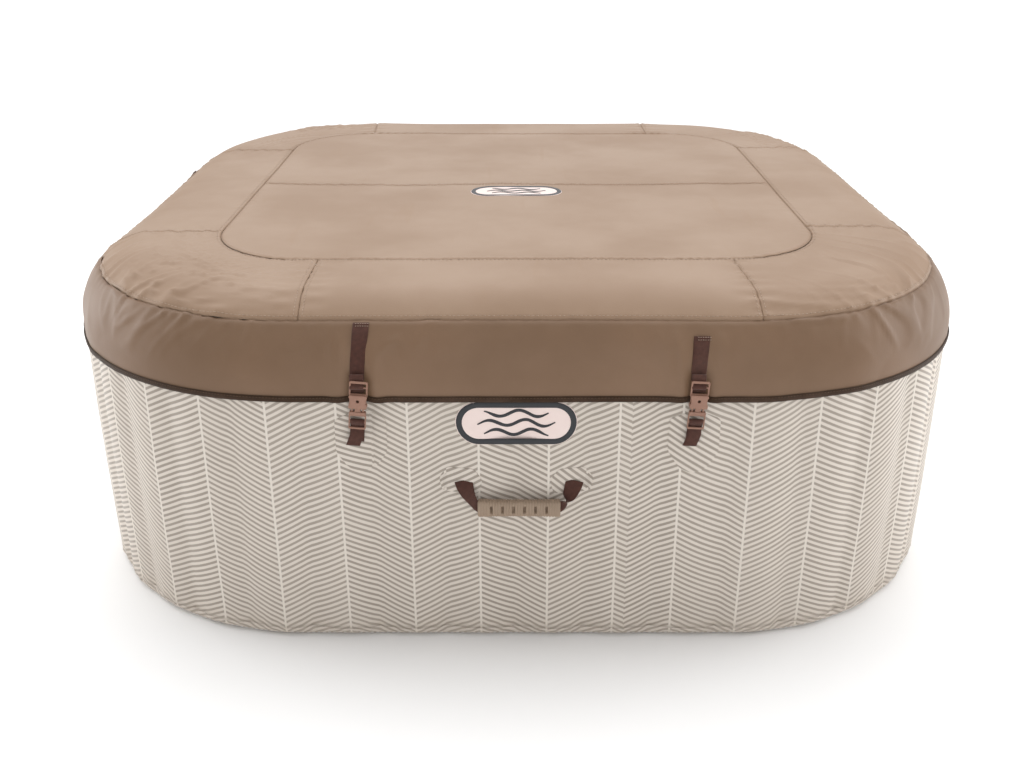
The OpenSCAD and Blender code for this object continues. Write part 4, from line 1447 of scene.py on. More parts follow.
@dataclass
class Cover:
    """The buckled vinyl cover with its air cushion."""

    step: float = 0.0071

    def build(self) -> None:
        """Builds and dresses every piece of the cover."""
        self.panels()
        self.ring()
        skirt = self.skirt()
        self.hem()
        self.stitches()
        self.pocket()
        self.cushion()
        self.zip()

    def half_panel(self, name: str, node: str, way: int) -> Object:
        """Builds the front or back half of the middle panel.

        Args:
            name: The piece's name.
            node: The CAD node that it stands for.
            way: -1 for the front half and 1 for the back half.

        Returns:
            The piece.
        """
        r, flat = COVER.panel_r, TUB.flat
        outs = steps(0.0, 0.028, 8) + steps(0.028, flat, 44)[1:]
        outs += [flat + r * sin(radians(a)) for a in steps(0, 90, 34)[1:]]
        rows, uvs = [], []
        for out in outs:
            past = max(out - flat, 0.0)
            half = flat + sqrt(max(r * r - past * past, 0.0))
            spread = [sin(pi / 2 * c) * 0.25 + c * 0.75 for c in steps(-1, 1, 190)]
            row = []
            for share in spread:
                x, y = share * half, way * out
                z = COVER.top + SKIN.top_push(x, y) + RELIEF.seam(out, x, 5.0)
                row.append(Vector((x, y, z)))
            rows.append(row if way < 0 else row[::-1])
            uvs.append([(v.x, v.y) for v in rows[-1]])
        mesh = grid_mesh(rows, uvs)
        if mesh.polygons[0].normal.z < 0:
            mesh.flip_normals()
        piece = new_piece(name, mesh)
        thicken(piece, COVER.sheet)
        finish_piece(piece, "cover", LOOKS.vinyl, "cover_vinyl", node)
        return piece

    def panels(self) -> None:
        """The two halves of the middle panel, sewn along the cover's centre line."""
        self.half_panel("top_panel_front", "cover_front_panel", -1)
        self.half_panel("top_panel_back", "cover_back_panel", 1)

    def section_from(self, low: float, flat_end: bool, count: int) -> Line:
        """Section of the cover from an angle of its rounded edge upward."""
        points = arc(COVER.centre, TUB.shoulder_z, COVER.edge_r, low, 90, count)
        if flat_end:
            points += [(x, COVER.top) for x in steps(COVER.centre, COVER.panel_r, 26)[1:]]
        return points

    def ring(self) -> None:
        """Four straight and four corner pieces round the middle panel."""
        section = self.section_from(COVER.seam_angle, True, 17)
        left, right = COVER.seam_left, COVER.seam_right
        for side in Side:
            middle = side.value * LOOP.quarter
            first, second, third = middle + left, middle + right, middle + LOOP.quarter + left
            parts = (
                (f"ring_side_{side.label}", first, second, "cover_side_ring", (0.86, 0.27), None),
                (f"ring_corner_{side.label}", second, third, "cover_corner_ring", (0.5, 0.46), 0.136),
            )
            for name, start, end, node, flat, area in parts:
                lips = [start + d for d in (0.002, 0.004, 0.007, 0.011)]
                places = [start, *lips, *loop_places(start + 0.016, end - 0.016, self.step)]
                places += [start + end - lip for lip in reversed(lips)] + [end]

                def push(s: float, run: float, z: float, ends: tuple[float, float] = (start, end)) -> float:
                    """Push of this ring piece."""
                    return SKIN.ring_push(s, run, ends)

                piece = new_piece(name, sweep(places, section, push))
                thicken(piece, COVER.sheet)
                finish_piece(piece, "cover", LOOKS.vinyl, "cover_vinyl")
                self.first = getattr(self, "first", [])
                self.first.append((node, piece))
        for node in ("cover_side_ring", "cover_corner_ring"):
            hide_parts(node)

    def skirt_section(self) -> Line:
        """Section of the skirt, from its hem to its seam."""
        x = COVER.centre + COVER.edge_r
        points = [(x, z) for z in steps(COVER.hem_z + 0.001, TUB.shoulder_z, 5)]
        return points + arc(COVER.centre, TUB.shoulder_z, COVER.edge_r, 0, COVER.seam_angle, 24)[1:]

    def around(self, pitch: float) -> list[float]:
        """Places all the way round, close to a pitch apart."""
        return loop_places(-LOOP.length / 2, LOOP.length / 2, pitch)

    def skirt(self) -> Object:
        """The skirt that hangs over the tub's shoulder."""
        piece = new_piece("skirt_sheet", sweep(self.around(self.step), self.skirt_section(), SKIN.skirt_push))
        thicken(piece, COVER.sheet)
        # LOOKS.skirt carries painted shade: the cover's vinyl made darker for the skirt.
        finish_piece(piece, "cover", LOOKS.skirt, "cover_vinyl", "cover_skirt")
        return piece

    def hem(self) -> None:
        """Woven binding folded round the skirt's lower edge."""
        x, z = COVER.centre + COVER.edge_r, COVER.hem_z
        wrap = [(0.0016, 0.0115), (0.0022, 0.008), (0.0023, 0.004), (0.0018, 0.0008)]
        wrap += [(-0.0008, -0.0006), (-0.0034, 0.0008), (-0.004, 0.005), (-0.0036, 0.0105)]
        wrap += [(-0.0019, 0.0105), (-0.0014, 0.006), (-0.0002, 0.006), (0.0002, 0.0115)]
        loop = [(x + dx, z + dz) for dx, dz in reversed(wrap)]
        middle = (x, z + 0.006)
        rows, uvs = [], []
        runs = [0.0]
        for a, b in pairwise([*loop, loop[0]]):
            runs.append(runs[-1] + dist(a, b))
        for s in self.around(self.step):
            base, out = LOOP.at(s)
            push = SKIN.skirt_push(s, 0.004, middle[1])
            lift = 0.0014 * wander(s * 6, 11.0) + 0.0035 * LOOP.bend(s) * wander(s * 3, 4.0)
            swell = 1 + 0.18 * wander(s * 40, 2.0)
            row = []
            for px, pz in [*loop, loop[0]]:
                ox = middle[0] + (px - middle[0]) * swell
                row.append(base + out * (ox + push) + UP * (pz + lift * 0.6))
            rows.append(row)
            uvs.append([(s, run) for run in runs])
        piece = new_piece("hem_tape_edge", weld(grid_mesh(rows, uvs), 2e-5))
        finish_piece(piece, "cover", LOOKS.hem, "hem_tape", "hem_binding")

    def stitches(self) -> None:
        """Rows of stitches beside the cover's seams."""
        runs = []
        for offset in (0.0078, -0.0078):
            run = []
            for x in steps(-0.605, 0.605, 240):
                z = COVER.top + SKIN.top_push(x, offset) + RELIEF.seam(offset, x, 5.0)
                run.append(Vector((x, offset, z + 0.0001)))
            runs.append(run)
        total = COVER.ring_run + COVER.centre - COVER.panel_r
        for side in Side:
            middle = side.value * LOOP.quarter
            left, right = COVER.seam_left, COVER.seam_right
            for start, end in ((left, right), (right, LOOP.quarter + left)):
                ends = (middle + start, middle + end)
                for run in (0.0078, total - 0.0078):
                    places = loop_places(ends[0] + 0.004, ends[1] - 0.004, 0.006)
                    runs.append([SKIN.ring_point(s, run, ends) for s in places])
                for place in (ends[0] + 0.0078, ends[1] - 0.0078):
                    heights = steps(0.012, total - 0.012, 50)
                    runs.append([SKIN.ring_point(place, run, ends) for run in heights])
        seam = StitchRows(LOOKS.thread).sew("cover_seam_stitches", runs)
        finish_piece(seam, "cover", LOOKS.thread, "cover_vinyl")
        low = []
        for s in self.around(0.006):
            base, out = LOOP.at(s)
            z = COVER.hem_z + 0.0088
            push = SKIN.skirt_push(s, 0.004, COVER.hem_z + 0.006)
            low.append(base + out * (COVER.centre + COVER.edge_r + 0.0023 + push) + UP * z)
        hem = StitchRows(LOOKS.dark_thread, 0.004, 0.006, 0.00045).sew("hem_stitches", [low])
        finish_piece(hem, "cover", LOOKS.dark_thread, "hem_tape")

    def pocket(self) -> None:
        """Sleeve under the cover that holds the cushion over the water."""
        low, high = (Vector(c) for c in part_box("cover_pocket"))
        edge = high.x - TUB.flat

        def wall_push(s: float, run: float, z: float) -> float:
            """Slack of the sleeve's side."""
            share = (z - low.z) / (high.z - low.z)
            return (0.0022 * wander(s * 6, z * 8) - 0.002) * sin(pi * share) ** 0.5

        section = [(edge - 0.006, low.z), *arc(edge - 0.006, low.z + 0.006, 0.006, -60, 0, 3)]
        section += [(edge, z) for z in steps(low.z + 0.012, high.z, 14)]
        sides = new_piece("pocket_side", sweep(self.around(0.011), section, wall_push))
        thicken(sides, 0.0012)
        finish_piece(sides, "cover", LOOKS.pocket, "pocket_sheet")

        def sag(x: float, y: float) -> float:
            """The sleeve's bottom hangs a little in the middle."""
            gap = edge + TUB.flat - max(abs(x), abs(y))
            return -0.0025 * smooth(gap / 0.2) + 0.0012 * wander(x * 7, y * 7)

        rows, uvs = disc_rows(edge - 0.006, low.z, 60, sag, outward=False, columns=260)
        mesh = weld(grid_mesh(rows, uvs), 1e-6)
        if mesh.polygons[0].normal.z > 0:
            mesh.flip_normals()
        bottom = new_piece("pocket_bottom", mesh)
        thicken(bottom, 0.0012)
        finish_piece(bottom, "cover", LOOKS.pocket, "pocket_sheet", "cover_pocket")

    def cushion(self) -> None:
        """Welded air cushion, in pillow-like panels."""
        low, high = (Vector(c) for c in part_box("air_cushion"))
        edge, middle, thick = high.x - 0.002, (low.z + high.z) / 2 - 0.002, (high.z - low.z) / 2 - 0.007
        rows, uvs = [], []
        for a in steps(-90, 90, 76):
            share = max(cos(radians(a)), 0.0) ** 0.42
            rise = copysign(abs(sin(radians(a))) ** 0.6, a)
            row = []
            for s in steps(-LOOP.length / 2, LOOP.length / 2, 320):
                base, out = LOOP.at(s)
                spot = (base + out * (edge - TUB.flat)) * share
                welds = min(abs(sin(pi * spot.x / 0.22)), abs(sin(pi * spot.y / 0.44)))
                dent = 1 - 0.4 * groove(welds, 0.45) * smooth(abs(rise) / 0.6)
                row.append(Vector((spot.x, spot.y, middle + thick * rise * dent)))
            rows.append(row)
            uvs.append([(v.x, v.y) for v in row])
        bladder = new_piece("cushion_bladder", weld(grid_mesh(rows, uvs), 1e-6))
        finish_piece(bladder, "cover", LOOKS.film, "cushion_film", "air_cushion")

    def zip(self) -> None:
        """Zip along the sleeve's front: its tape and coil."""
        low, high = (Vector(c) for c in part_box("pocket_zip"))
        z, face = (low.z + high.z) / 2, low.y
        tape = []
        for v, bulge in ((-0.5, 0.0), (-0.25, 0.0006), (0.0, 0.0008), (0.25, 0.0006), (0.5, 0.0)):
            y, level = high.y - 0.0006 - bulge, z + v * (high.z - low.z)
            tape.append([Vector((x, y, level)) for x in steps(low.x, high.x, 60)])
        uvs = [[(p.x, p.z) for p in row] for row in tape]
        piece = new_piece("zip_tape_strip", grid_mesh(tape, uvs))
        modify(piece, "SOLIDIFY", thickness=0.001, offset=0.0)
        finish_piece(piece, "cover", LOOKS.tape, "zip_tape", "pocket_zip")
        shape = bpy.data.objects.new("coil_shape", ring_mesh(0.0022, 0.00045, 8, 5))
        shape.data.transform(Matrix.Rotation(radians(78), 4, "Y"))
        run = [Vector((x, face + 0.0012, z)) for x in steps(low.x + 0.004, high.x - 0.004, 20)]
        coil = new_piece("zip_coil", line_mesh([run]))
        run_tree(coil, RULES.row, Shape=shape, Pitch=0.0021, Material=LOOKS.tape)
        bpy.data.objects.remove(shape)
        finish_piece(coil, "cover", LOOKS.tape, "zip_tape")


# ---- Moulded plates, straps and buckles ----


def outline_round(points: Line, radius: float, count: int = 4) -> Line:
    """Rounds the corners of an outline.

    Args:
        points: The outline's corners in order.
        radius: The corners' radius.
        count: Number of pieces in each corner's arc.

    Returns:
        The rounded outline.
    """
    rounded = []
    for i, here in enumerate(points):
        p = Vector((*here, 0))
        before = Vector((*points[i - 1], 0)) - p
        after = Vector((*points[(i + 1) % len(points)], 0)) - p
        reach = min(radius, before.length * 0.49, after.length * 0.49)
        a, b = p + before.normalized() * reach, p + after.normalized() * reach
        for t in steps(0, 1, count):
            q = a.lerp(p, t).lerp(p.lerp(b, t), t)
            rounded.append((q.x, q.y))
    return rounded


def box_outline(x0: float, z0: float, x1: float, z1: float, radius: float = 0.001) -> Line:
    """Outline of a rounded rectangle."""
    return outline_round([(x0, z0), (x1, z0), (x1, z1), (x0, z1)], radius)


def plate(outlines: Sequence[Line], front: float, back: float, bevel: float = 0.0006) -> Mesh:
    """A moulded plate with windows and rounded edges, standing in the side's plane.

    Args:
        outlines: The outer outline and those of its windows, in x and z.
        front: How far out its front face lies.
        back: How far out its back face lies.
        bevel: Radius of its edges.

    Returns:
        The closed mesh.
    """
    curve = bpy.data.curves.new("plate", "CURVE")
    curve.dimensions = "2D"
    curve.fill_mode = "BOTH"
    curve.extrude = (front - back) / 2 - bevel
    curve.bevel_depth = bevel
    curve.bevel_resolution = 2
    curve.offset = -bevel
    for outline in outlines:
        spline = curve.splines.new("POLY")
        spline.points.add(len(outline) - 1)
        for point, (x, z) in zip(spline.points, outline):
            point.co = (x, z, 0, 1)
        spline.use_cyclic_u = True
    holder = link_new("plate", curve)
    depsgraph = bpy.context.evaluated_depsgraph_get()
    mesh = bpy.data.meshes.new_from_object(holder.evaluated_get(depsgraph), depsgraph=depsgraph)
    bpy.data.objects.remove(holder)
    bpy.data.curves.remove(curve)
    mesh.transform(Matrix.Translation((0, -(front + back) / 2, 0)) @ Matrix.Rotation(pi / 2, 4, "X"))
    mesh.polygons.foreach_set("use_smooth", [False] * len(mesh.polygons))
    return weld(mesh, 1e-5)


def smooth_by_angle(mesh: Mesh, degrees: float = 40.0) -> Mesh:
    """Shades a mesh smooth, with sharp edges where its faces turn more than an angle."""
    work = bmesh.new()
    work.from_mesh(mesh)
    for edge in work.edges:
        edge.smooth = len(edge.link_faces) != 2 or edge.calc_face_angle(0) < radians(degrees)
    for face in work.faces:
        face.smooth = True
    work.to_mesh(mesh)
    work.free()
    return mesh


@dataclass(frozen=True)
class Webbing:
    """Flat woven webbing, bent along a path, with its middle drifting a little sideways."""

    width: float = 0.025
    thickness: float = 0.0016

    def strip(
        self,
        path: Sequence[Vector],
        across: Vector,
        spread: float = 1.0,
        sway: float = 0.0,
        salt: float = 0.0,
    ) -> Mesh:
        """Makes a webbing strip along a path.

        Args:
            path: The strip's middle line.
            across: Direction of its width.
            spread: Its width at its start, as a share of its own width.
            sway: Largest sideways drift of its middle line.
            salt: Shifts the drift.

        Returns:
            The closed mesh, with u across and v along, in metres.
        """
        points = self.resample(path, 0.0022)
        profile = [(-0.5, 0.0), (-0.47, 0.5), (-0.25, 0.56), (0.0, 0.52)]
        profile += [(0.25, 0.56), (0.47, 0.5), (0.5, 0.0)]
        profile += [(x, -z) for x, z in reversed(profile[1:-1])]
        rows, uvs = [], []
        run = 0.0
        for i, p in enumerate(points):
            ahead = points[min(i + 1, len(points) - 1)] - points[max(i - 1, 0)]
            normal = across.cross(ahead).normalized()
            if i:
                run += (p - points[i - 1]).length
            wide = self.width * (spread + (1 - spread) * smooth(run / 0.11))
            drift = across * sway * wander(run * 14, salt)
            row, uv_row = [], []
            for x, h in [*profile, profile[0]]:
                row.append(p + drift + across * (x * wide) + normal * (h * self.thickness))
                uv_row.append((x * wide, run))
            rows.append(row)
            uvs.append(uv_row)
        for index in (0, -1):
            centre = sum(rows[index][:-1], Vector()) / (len(rows[index]) - 1)
            cap = [centre.copy() for _ in rows[index]]
            rows.insert(0, cap) if index == 0 else rows.append(cap)
            uvs.insert(0, uvs[0]) if index == 0 else uvs.append(uvs[-1])
        return weld(grid_mesh(rows, uvs), 1e-6)

    def resample(self, path: Sequence[Vector], pitch: float) -> list[Vector]:
        """Points evenly spaced along a path whose corners are rounded by a spline."""
        fine = []
        last = len(path) - 1
        for i in range(last):
            p0, p1, p2, p3 = path[max(i - 1, 0)], path[i], path[i + 1], path[min(i + 2, last)]
            for t in steps(0, 1, 12)[: 13 if i == last - 1 else 12]:
                a = (p1 * 3 - p2 * 3 + p3 - p0) * t**3
                b = (p0 * 2 - p1 * 5 + p2 * 4 - p3) * t**2
                fine.append((a + b + (p2 - p0) * t + p1 * 2) / 2)
        spaced = [fine[0]]
        for a, b in pairwise(fine):
            if (b - spaced[-1]).length >= pitch:
                spaced.append(b)
        return spaced


@dataclass
class Buckles:
    """Side-release buckles with their webbing, two on each side."""

    webbing: Webbing = Webbing()
    z: float = 0.507
    width: float = 0.033
    back: float = 0.0095
    front: float = 0.0215
    frame_back: float = 0.0125
    frame_front: float = 0.0165

    def build(self) -> None:
        """Builds the straps, sockets, plugs and arms of all eight buckles."""
        sockets, plugs, covers, tubs, bars = [], [], [], [], []
        for side in Side:
            for strap in Strap:
                place = on_side(side, strap.value, 0.0, self.z)
                tilt = place @ Matrix.Rotation(radians(self.tilt(side, strap)), 4, "Y")
                sockets.append(moved(self.socket(), tilt))
                plugs.append(moved(self.plug(), tilt))
                covers.append(moved(self.cover_strap(side, strap), place))
                tubs.append(moved(self.tub_strap(side, strap), tilt))
                bars.append(self.bartack(side, strap))
                self.arms(side, strap, tilt)
        self.piece("socket_shells", "cover", sockets, LOOKS.buckle, "buckle_plastic", "buckle_sockets")
        self.piece("plug_frames", "tub", plugs, LOOKS.buckle, "buckle_plastic", "buckle_plugs")
        self.piece("cover_webbing", "cover", covers, LOOKS.webbing, "webbing", "cover_straps")
        self.piece("tub_webbing", "tub", tubs, LOOKS.webbing, "webbing", "tub_straps")
        tacks = StitchRows(LOOKS.thread, 0.003, 0.004, 0.0004).sew("strap_bartacks", sum(bars, []))
        finish_piece(tacks, "cover", LOOKS.thread, "webbing")

    def tilt(self, side: Side, strap: Strap) -> float:
        """How far a buckle hangs off plumb, in degrees."""
        if side is Side.FRONT:
            return 5.0 if strap is Strap.LEFT else 3.0
        return 2.4 * wander(side.value * 3.1, strap.value * 9)

    def piece(
        self, name: str, body: str, meshes: Sequence[Mesh], material: Material, slot: str, node: str
    ) -> None:
        """Joins meshes as one piece and dresses it."""
        made = new_piece(name, join_meshes(meshes))
        finish_piece(made, body, material, slot, node)

    def socket(self) -> Mesh:
        """The female half: hollow shell with side windows, eye and ladder frame."""
        half = self.width / 2
        shell = [(-half + 0.0006, -0.0018), (half - 0.0006, -0.0018), (half, 0.004), (half - 0.0022, 0.0075)]
        shell += [(half - 0.0022, 0.0165), (half, 0.0195), (half - 0.0012, 0.0236), (-half + 0.0012, 0.0236)]
        shell += [(-half, 0.0195), (-half + 0.0022, 0.0165), (-half + 0.0022, 0.0075), (-half, 0.004)]
        outer = outline_round(shell, 0.0022, 5)
        eye = [(0.0027 * cos(a), 0.0125 + 0.0027 * sin(a)) for a in steps(0, tau * 15 / 16, 15)]
        faces = plate([outer, eye], self.front, self.front - 0.0026, 0.0009)
        rear = plate([outer], self.back + 0.0026, self.back, 0.0009)

        def wall(x0: float, z0: float, x1: float, z1: float) -> Mesh:
            """A wall between the shell's two faces."""
            return plate([box_outline(x0, z0, x1, z1)], self.front - 0.0016, self.back + 0.0016, 0.0004)

        ribs = [wall(x - 0.0011, 0.0162, x + 0.0011, 0.0232) for x in (-half + 0.004, half - 0.004)]
        posts = [wall(x - 0.0013, -0.0012, x + 0.0013, 0.0052) for x in (-half + 0.0024, half - 0.0024)]
        roof = wall(-half + 0.003, 0.0212, half - 0.003, 0.0234)
        window = box_outline(-0.0134, 0.0252, 0.0134, 0.0358, 0.0012)
        upper = box_outline(-0.0134, 0.0388, 0.0134, 0.0446, 0.0012)
        frame_out = box_outline(-half, 0.0215, half, 0.0485, 0.0036)
        ladder = plate([frame_out, window, upper], self.frame_front, self.frame_back, 0.0011)
        return smooth_by_angle(join_meshes([faces, rear, roof, ladder, *ribs, *posts]))

    def plug(self) -> Mesh:
        """The male half: frame with its crossbar, shoulder and guide prong."""
        half = self.width / 2 - 0.001
        low = -0.044
        high = low + 0.031
        frame_out = outline_round([(-half, low), (half, low), (half, high), (-half, high)], 0.0035, 5)
        below = box_outline(-0.0132, low + 0.0038, 0.0132, -0.0315, 0.0012)
        above = box_outline(-0.0132, -0.0268, 0.0132, -0.0182, 0.0012)
        ladder = plate([frame_out, below, above], self.frame_front, self.frame_back, 0.0011)
        middle = (self.front + self.back) / 2
        neck = [(-half, -0.0142), (half, -0.0142), (half - 0.001, -0.0088), (-half + 0.001, -0.0088)]
        shoulder = plate([outline_round(neck, 0.0015)], middle + 0.0045, middle - 0.0045, 0.0012)
        foot = [(-0.0055, -0.01), (0.0055, -0.01), (0.0046, -0.0022), (-0.0046, -0.0022)]
        bridge = plate([outline_round(foot, 0.001)], middle + 0.003, middle - 0.003, 0.0006)
        thumb = box_outline(-0.0014, -0.004, 0.0014, 0.008)
        prong = plate([thumb], middle + 0.0014, middle - 0.0014, 0.0005)
        return smooth_by_angle(join_meshes([ladder, shoulder, bridge, prong]))

    def arms(self, side: Side, strap: Strap, place: Matrix) -> None:
        """The two springy arms of a plug, each on its own body."""
        middle = (self.front + self.back) / 2
        for number, way in ((1, -1), (2, 1)):
            shape = [(0.008, -0.01), (0.0112, -0.01), (0.0112, 0.0062), (0.0126, 0.0082)]
            shape += [(0.015, 0.0088), (0.0152, 0.0142), (0.0128, 0.018), (0.0108, 0.0216), (0.0084, 0.0214)]
            outline = outline_round([(way * x, z) for x, z in shape][::way], 0.0012, 3)
            mesh = smooth_by_angle(plate([outline], middle + 0.0021, middle - 0.0021, 0.0007))
            name = f"arm_{side.label}_{strap.label}_{number}"
            arm = new_piece(f"prong_{side.label}_{strap.label}_{number}", moved(mesh, place))
            finish_piece(arm, name, LOOKS.buckle, "buckle_plastic", name)

    def drape_out(self, side: Side, strap: Strap, angle: float) -> tuple[float, float]:
        """How far out and how high a strap lies over the skirt at an angle of its rounded edge."""
        s = side.value * LOOP.quarter + strap.value
        a = radians(angle)
        z = TUB.shoulder_z + COVER.edge_r * sin(a)
        run = 0.025 + COVER.edge_r * a
        push = SKIN.skirt_push(s, run, z) + 0.002
        out = COVER.centre + (COVER.edge_r + push) * cos(a) - TUB.corner_r
        return out, TUB.shoulder_z + (COVER.edge_r + push) * sin(a)

    def cover_strap(self, side: Side, strap: Strap) -> Mesh:
        """Webbing from the skirt's seam, over the skirt and round the socket's bar."""
        lean = self.lean(side, strap)
        path = []
        start = self.top_angle(strap)
        for angle in steps(start, 6.0, 6):
            out, z = self.drape_out(side, strap, angle)
            path.append(Vector((lean * smooth((z - self.z - 0.05) / 0.12), -out, z - self.z)))
        out, _ = self.drape_out(side, strap, 2)
        middle = (self.frame_back + self.frame_front) / 2
        path.append(Vector((0, -max(out, self.frame_back - 0.0026), 0.06)))
        rear, face = -self.frame_back, -self.frame_front
        round_bar = [(rear + 0.0016, 0.052), (rear + 0.0012, 0.0462), (-middle, 0.0412)]
        round_bar += [(face - 0.0012, 0.0373), (-middle, 0.0332), (rear + 0.0016, 0.0338)]
        round_bar += [(rear + 0.0024, 0.03), (rear + 0.0026, 0.025)]
        path += [Vector((0, y, z)) for y, z in round_bar]
        return self.webbing.strip(path, Vector((1, 0, 0)), 1.16, 0.0006, side.value + strap.value)

    def top_angle(self, strap: Strap) -> float:
        """Angle of the rounded edge where the strap is sewn on, in degrees."""
        return 37.0 if strap is Strap.RIGHT else 46.5

    def lean(self, side: Side, strap: Strap) -> float:
        """Sideways shift of the strap's top."""
        if side is Side.FRONT:
            return 0.01 if strap is Strap.RIGHT else 0.008
        return 0.004 * wander(side.value * 2.7, strap.value * 8)

    def bartack(self, side: Side, strap: Strap) -> list[list[Vector]]:
        """Stitches across the strap's sewn top."""
        runs = []
        start = self.top_angle(strap)
        for angle in (start - 0.9, start - 2.7):
            out, z = self.drape_out(side, strap, angle)
            shift = self.lean(side, strap)
            line = []
            for x in steps(-0.0105, 0.0105, 12):
                y = -TUB.half - out - 0.0012 * cos(radians(angle))
                spot = Vector((strap.value + shift + x, y, z + 0.0008))
                line.append(Matrix.Rotation(side.value * pi / 2, 3, "Z") @ spot)
            runs.append(line)
        return runs

    def tub_strap(self, side: Side, strap: Strap) -> Mesh:
        """Webbing from its patch, round the plug's crossbar and down as a loose tail."""
        salt = side.value * 1.7 + strap.value
        bar_out = (self.frame_back + self.frame_front) / 2
        rear, face = -self.frame_back, -self.frame_front
        line = [(-0.0032, -0.074), (-0.0034, -0.062), (-0.005, -0.05), (rear + 0.0042, -0.04)]
        line += [(rear + 0.0016, -0.031), (-bar_out, -0.0244), (face - 0.0012, -0.029), (-bar_out, -0.0345)]
        line += [(rear + 0.0014, -0.0405), (rear + 0.0008, -0.048), (rear - 0.0012, -0.056)]
        curl = 0.0022 * wander(salt, 3.0)
        path = [Vector((0, y, z)) for y, z in line]
        path.append(Vector((-0.0026, rear - 0.0016 - curl, -0.066)))
        path.append(Vector((-0.0062, rear - 0.0012 - 2 * curl, -0.079)))
        return self.webbing.strip(path, Vector((1, 0, 0)), 1.0, 0.0004, salt)


# ---- Handles ----


@dataclass
class Handle:
    """Webbing handle with a ribbed moulded grip."""

    side: Side
    webbing: Webbing = Webbing()
    length: float = 0.152
    height: float = 0.033
    depth: float = 0.022
    out: float = 0.02
    z: float = 0.304
    slit_z: float = 0.352

    def build(self) -> None:
        """Builds and dresses the grip and its webbing."""
        label = self.side.label
        body = f"{label}_handle"
        place = on_side(self.side, 0.005 if self.side is Side.FRONT else 0.0)
        grip = new_piece(f"{label}_ribbed_grip", moved(self.grip(), place))
        finish_piece(grip, body, LOOKS.grip, "grip_plastic", f"{label}_handle_grip")
        strap = new_piece(f"{label}_handle_webbing", moved(self.strap(), place))
        finish_piece(strap, body, LOOKS.webbing, "webbing", f"{label}_handle_strap")

    def ring(self, x: float, scale: float, dent: float) -> list[Vector]:
        """One ring of the grip: a rounded rectangle, dented where fingers lie."""
        points = []
        for i in range(56):
            a = tau * i / 56
            c, s = cos(a), sin(a)
            y = copysign(abs(c) ** 0.55, c) * (self.depth / 2 - dent) * scale
            z = copysign(abs(s) ** 0.62, s) * (self.height / 2 - dent) * scale
            points.append(Vector((x, -self.out + y, self.z + z)))
        return points

    def grip(self) -> Mesh:
        """Grip with shallow ribs, rounded ends and dark finger slots along its front."""
        half = self.length / 2
        rows = []
        for x in steps(-half, half, 300):
            inset = (half - abs(x)) / 0.005
            round_off = sqrt(max(1 - (1 - min(inset, 1.0)) ** 2, 0.0))
            scale = 0.8 + 0.2 * round_off
            rib = abs(sin(pi * x / 0.0052)) ** 6 * (0.8 if abs(x) < half - 0.006 else 0.0)
            belly = 0.0012 * (x / half) ** 2
            rows.append(self.ring(x, scale, 0.0012 * rib + 0.001 - belly))
        slots = [-0.0508 + i * 0.0203 for i in range(6)]
        for row in rows:
            x = row[0].x
            for point in row:
                front = (-self.out - point.y) / (self.depth / 2)
                if front > 0.55:
                    for slot in slots:
                        wide = groove(x - slot, 0.003)
                        tall = groove(point.z - self.z, 0.0085)
                        point.y += 0.0075 * smooth(wide * 2.2) * smooth(tall * 3.2)
        rows = [self.cap(rows[0])] + rows + [self.cap(rows[-1])]
        rows = [[*row, row[0]] for row in rows]
        uvs = [[(p.x, p.z) for p in row] for row in rows]
        return weld(grid_mesh(rows, uvs), 1e-6)

    def cap(self, row: Sequence[Vector]) -> list[Vector]:
        """A ring shrunk to its middle, to close the grip's end."""
        centre = sum(row, Vector()) / len(row)
        return [centre.copy() for _ in row]

    def strap(self) -> Mesh:
        """Webbing that leaves both slits, twists and runs into the grip's ends."""
        meshes = []
        half = self.length / 2
        for way in (-1, 1):
            rows, uvs = [], []
            run = 0.0
            last = None
            for t in steps(0, 1, 36):
                slit = Vector((way * 0.1025, -0.001, self.slit_z - 0.001))
                out = Vector((way * 0.0985, -0.012, self.slit_z - 0.016))
                bend = Vector((way * (half + 0.01), -self.out - 0.001, self.z + 0.008))
                end = Vector((way * (half - 0.004), -self.out, self.z))
                a, b, c = slit.lerp(out, t), out.lerp(bend, t), bend.lerp(end, t)
                p = a.lerp(b, t).lerp(b.lerp(c, t), t)
                turn = smooth(t * 1.25 - 0.15)
                across = Vector((1, 0, 0)).lerp(Vector((0.25 * way, 0.0, 1)), turn).normalized()
                ahead = (b.lerp(c, t) - a.lerp(b, t)).normalized()
                across = (across - ahead * across.dot(ahead)).normalized()
                normal = across.cross(ahead).normalized()
                if last is not None:
                    run += (p - last).length
                last = p
                wide = 0.033 - 0.013 * smooth(t * 1.2)
                fold = 0.003 * smooth(t * 1.5) * (1 - smooth(t * 1.1 - 0.1))
                row, uv_row = [], []
                for x, h in self.section():
                    lift = fold * (1 - (2 * x) ** 2)
                    row.append(p + across * (x * wide) + normal * (h * self.webbing.thickness + lift))
                    uv_row.append((x * self.webbing.width, run))
                rows.append(row)
                uvs.append(uv_row)
            for index in (0, -1):
                cap = self.cap(rows[index])
                rows.insert(0, cap) if index == 0 else rows.append(cap)
                uvs.insert(0, uvs[0]) if index == 0 else uvs.append(uvs[-1])
            meshes.append(weld(grid_mesh(rows, uvs), 1e-6))
        return join_meshes(meshes)

    def section(self) -> Line:
        """Closed section of the webbing: across and through."""
        upper = [(-0.5, 0.0), (-0.47, 0.5), (-0.2, 0.56), (0.2, 0.56), (0.47, 0.5), (0.5, 0.0)]
        return [*upper, *[(x, -h) for x, h in reversed(upper[1:-1])], upper[0]]


# ---- Patches and badges ----


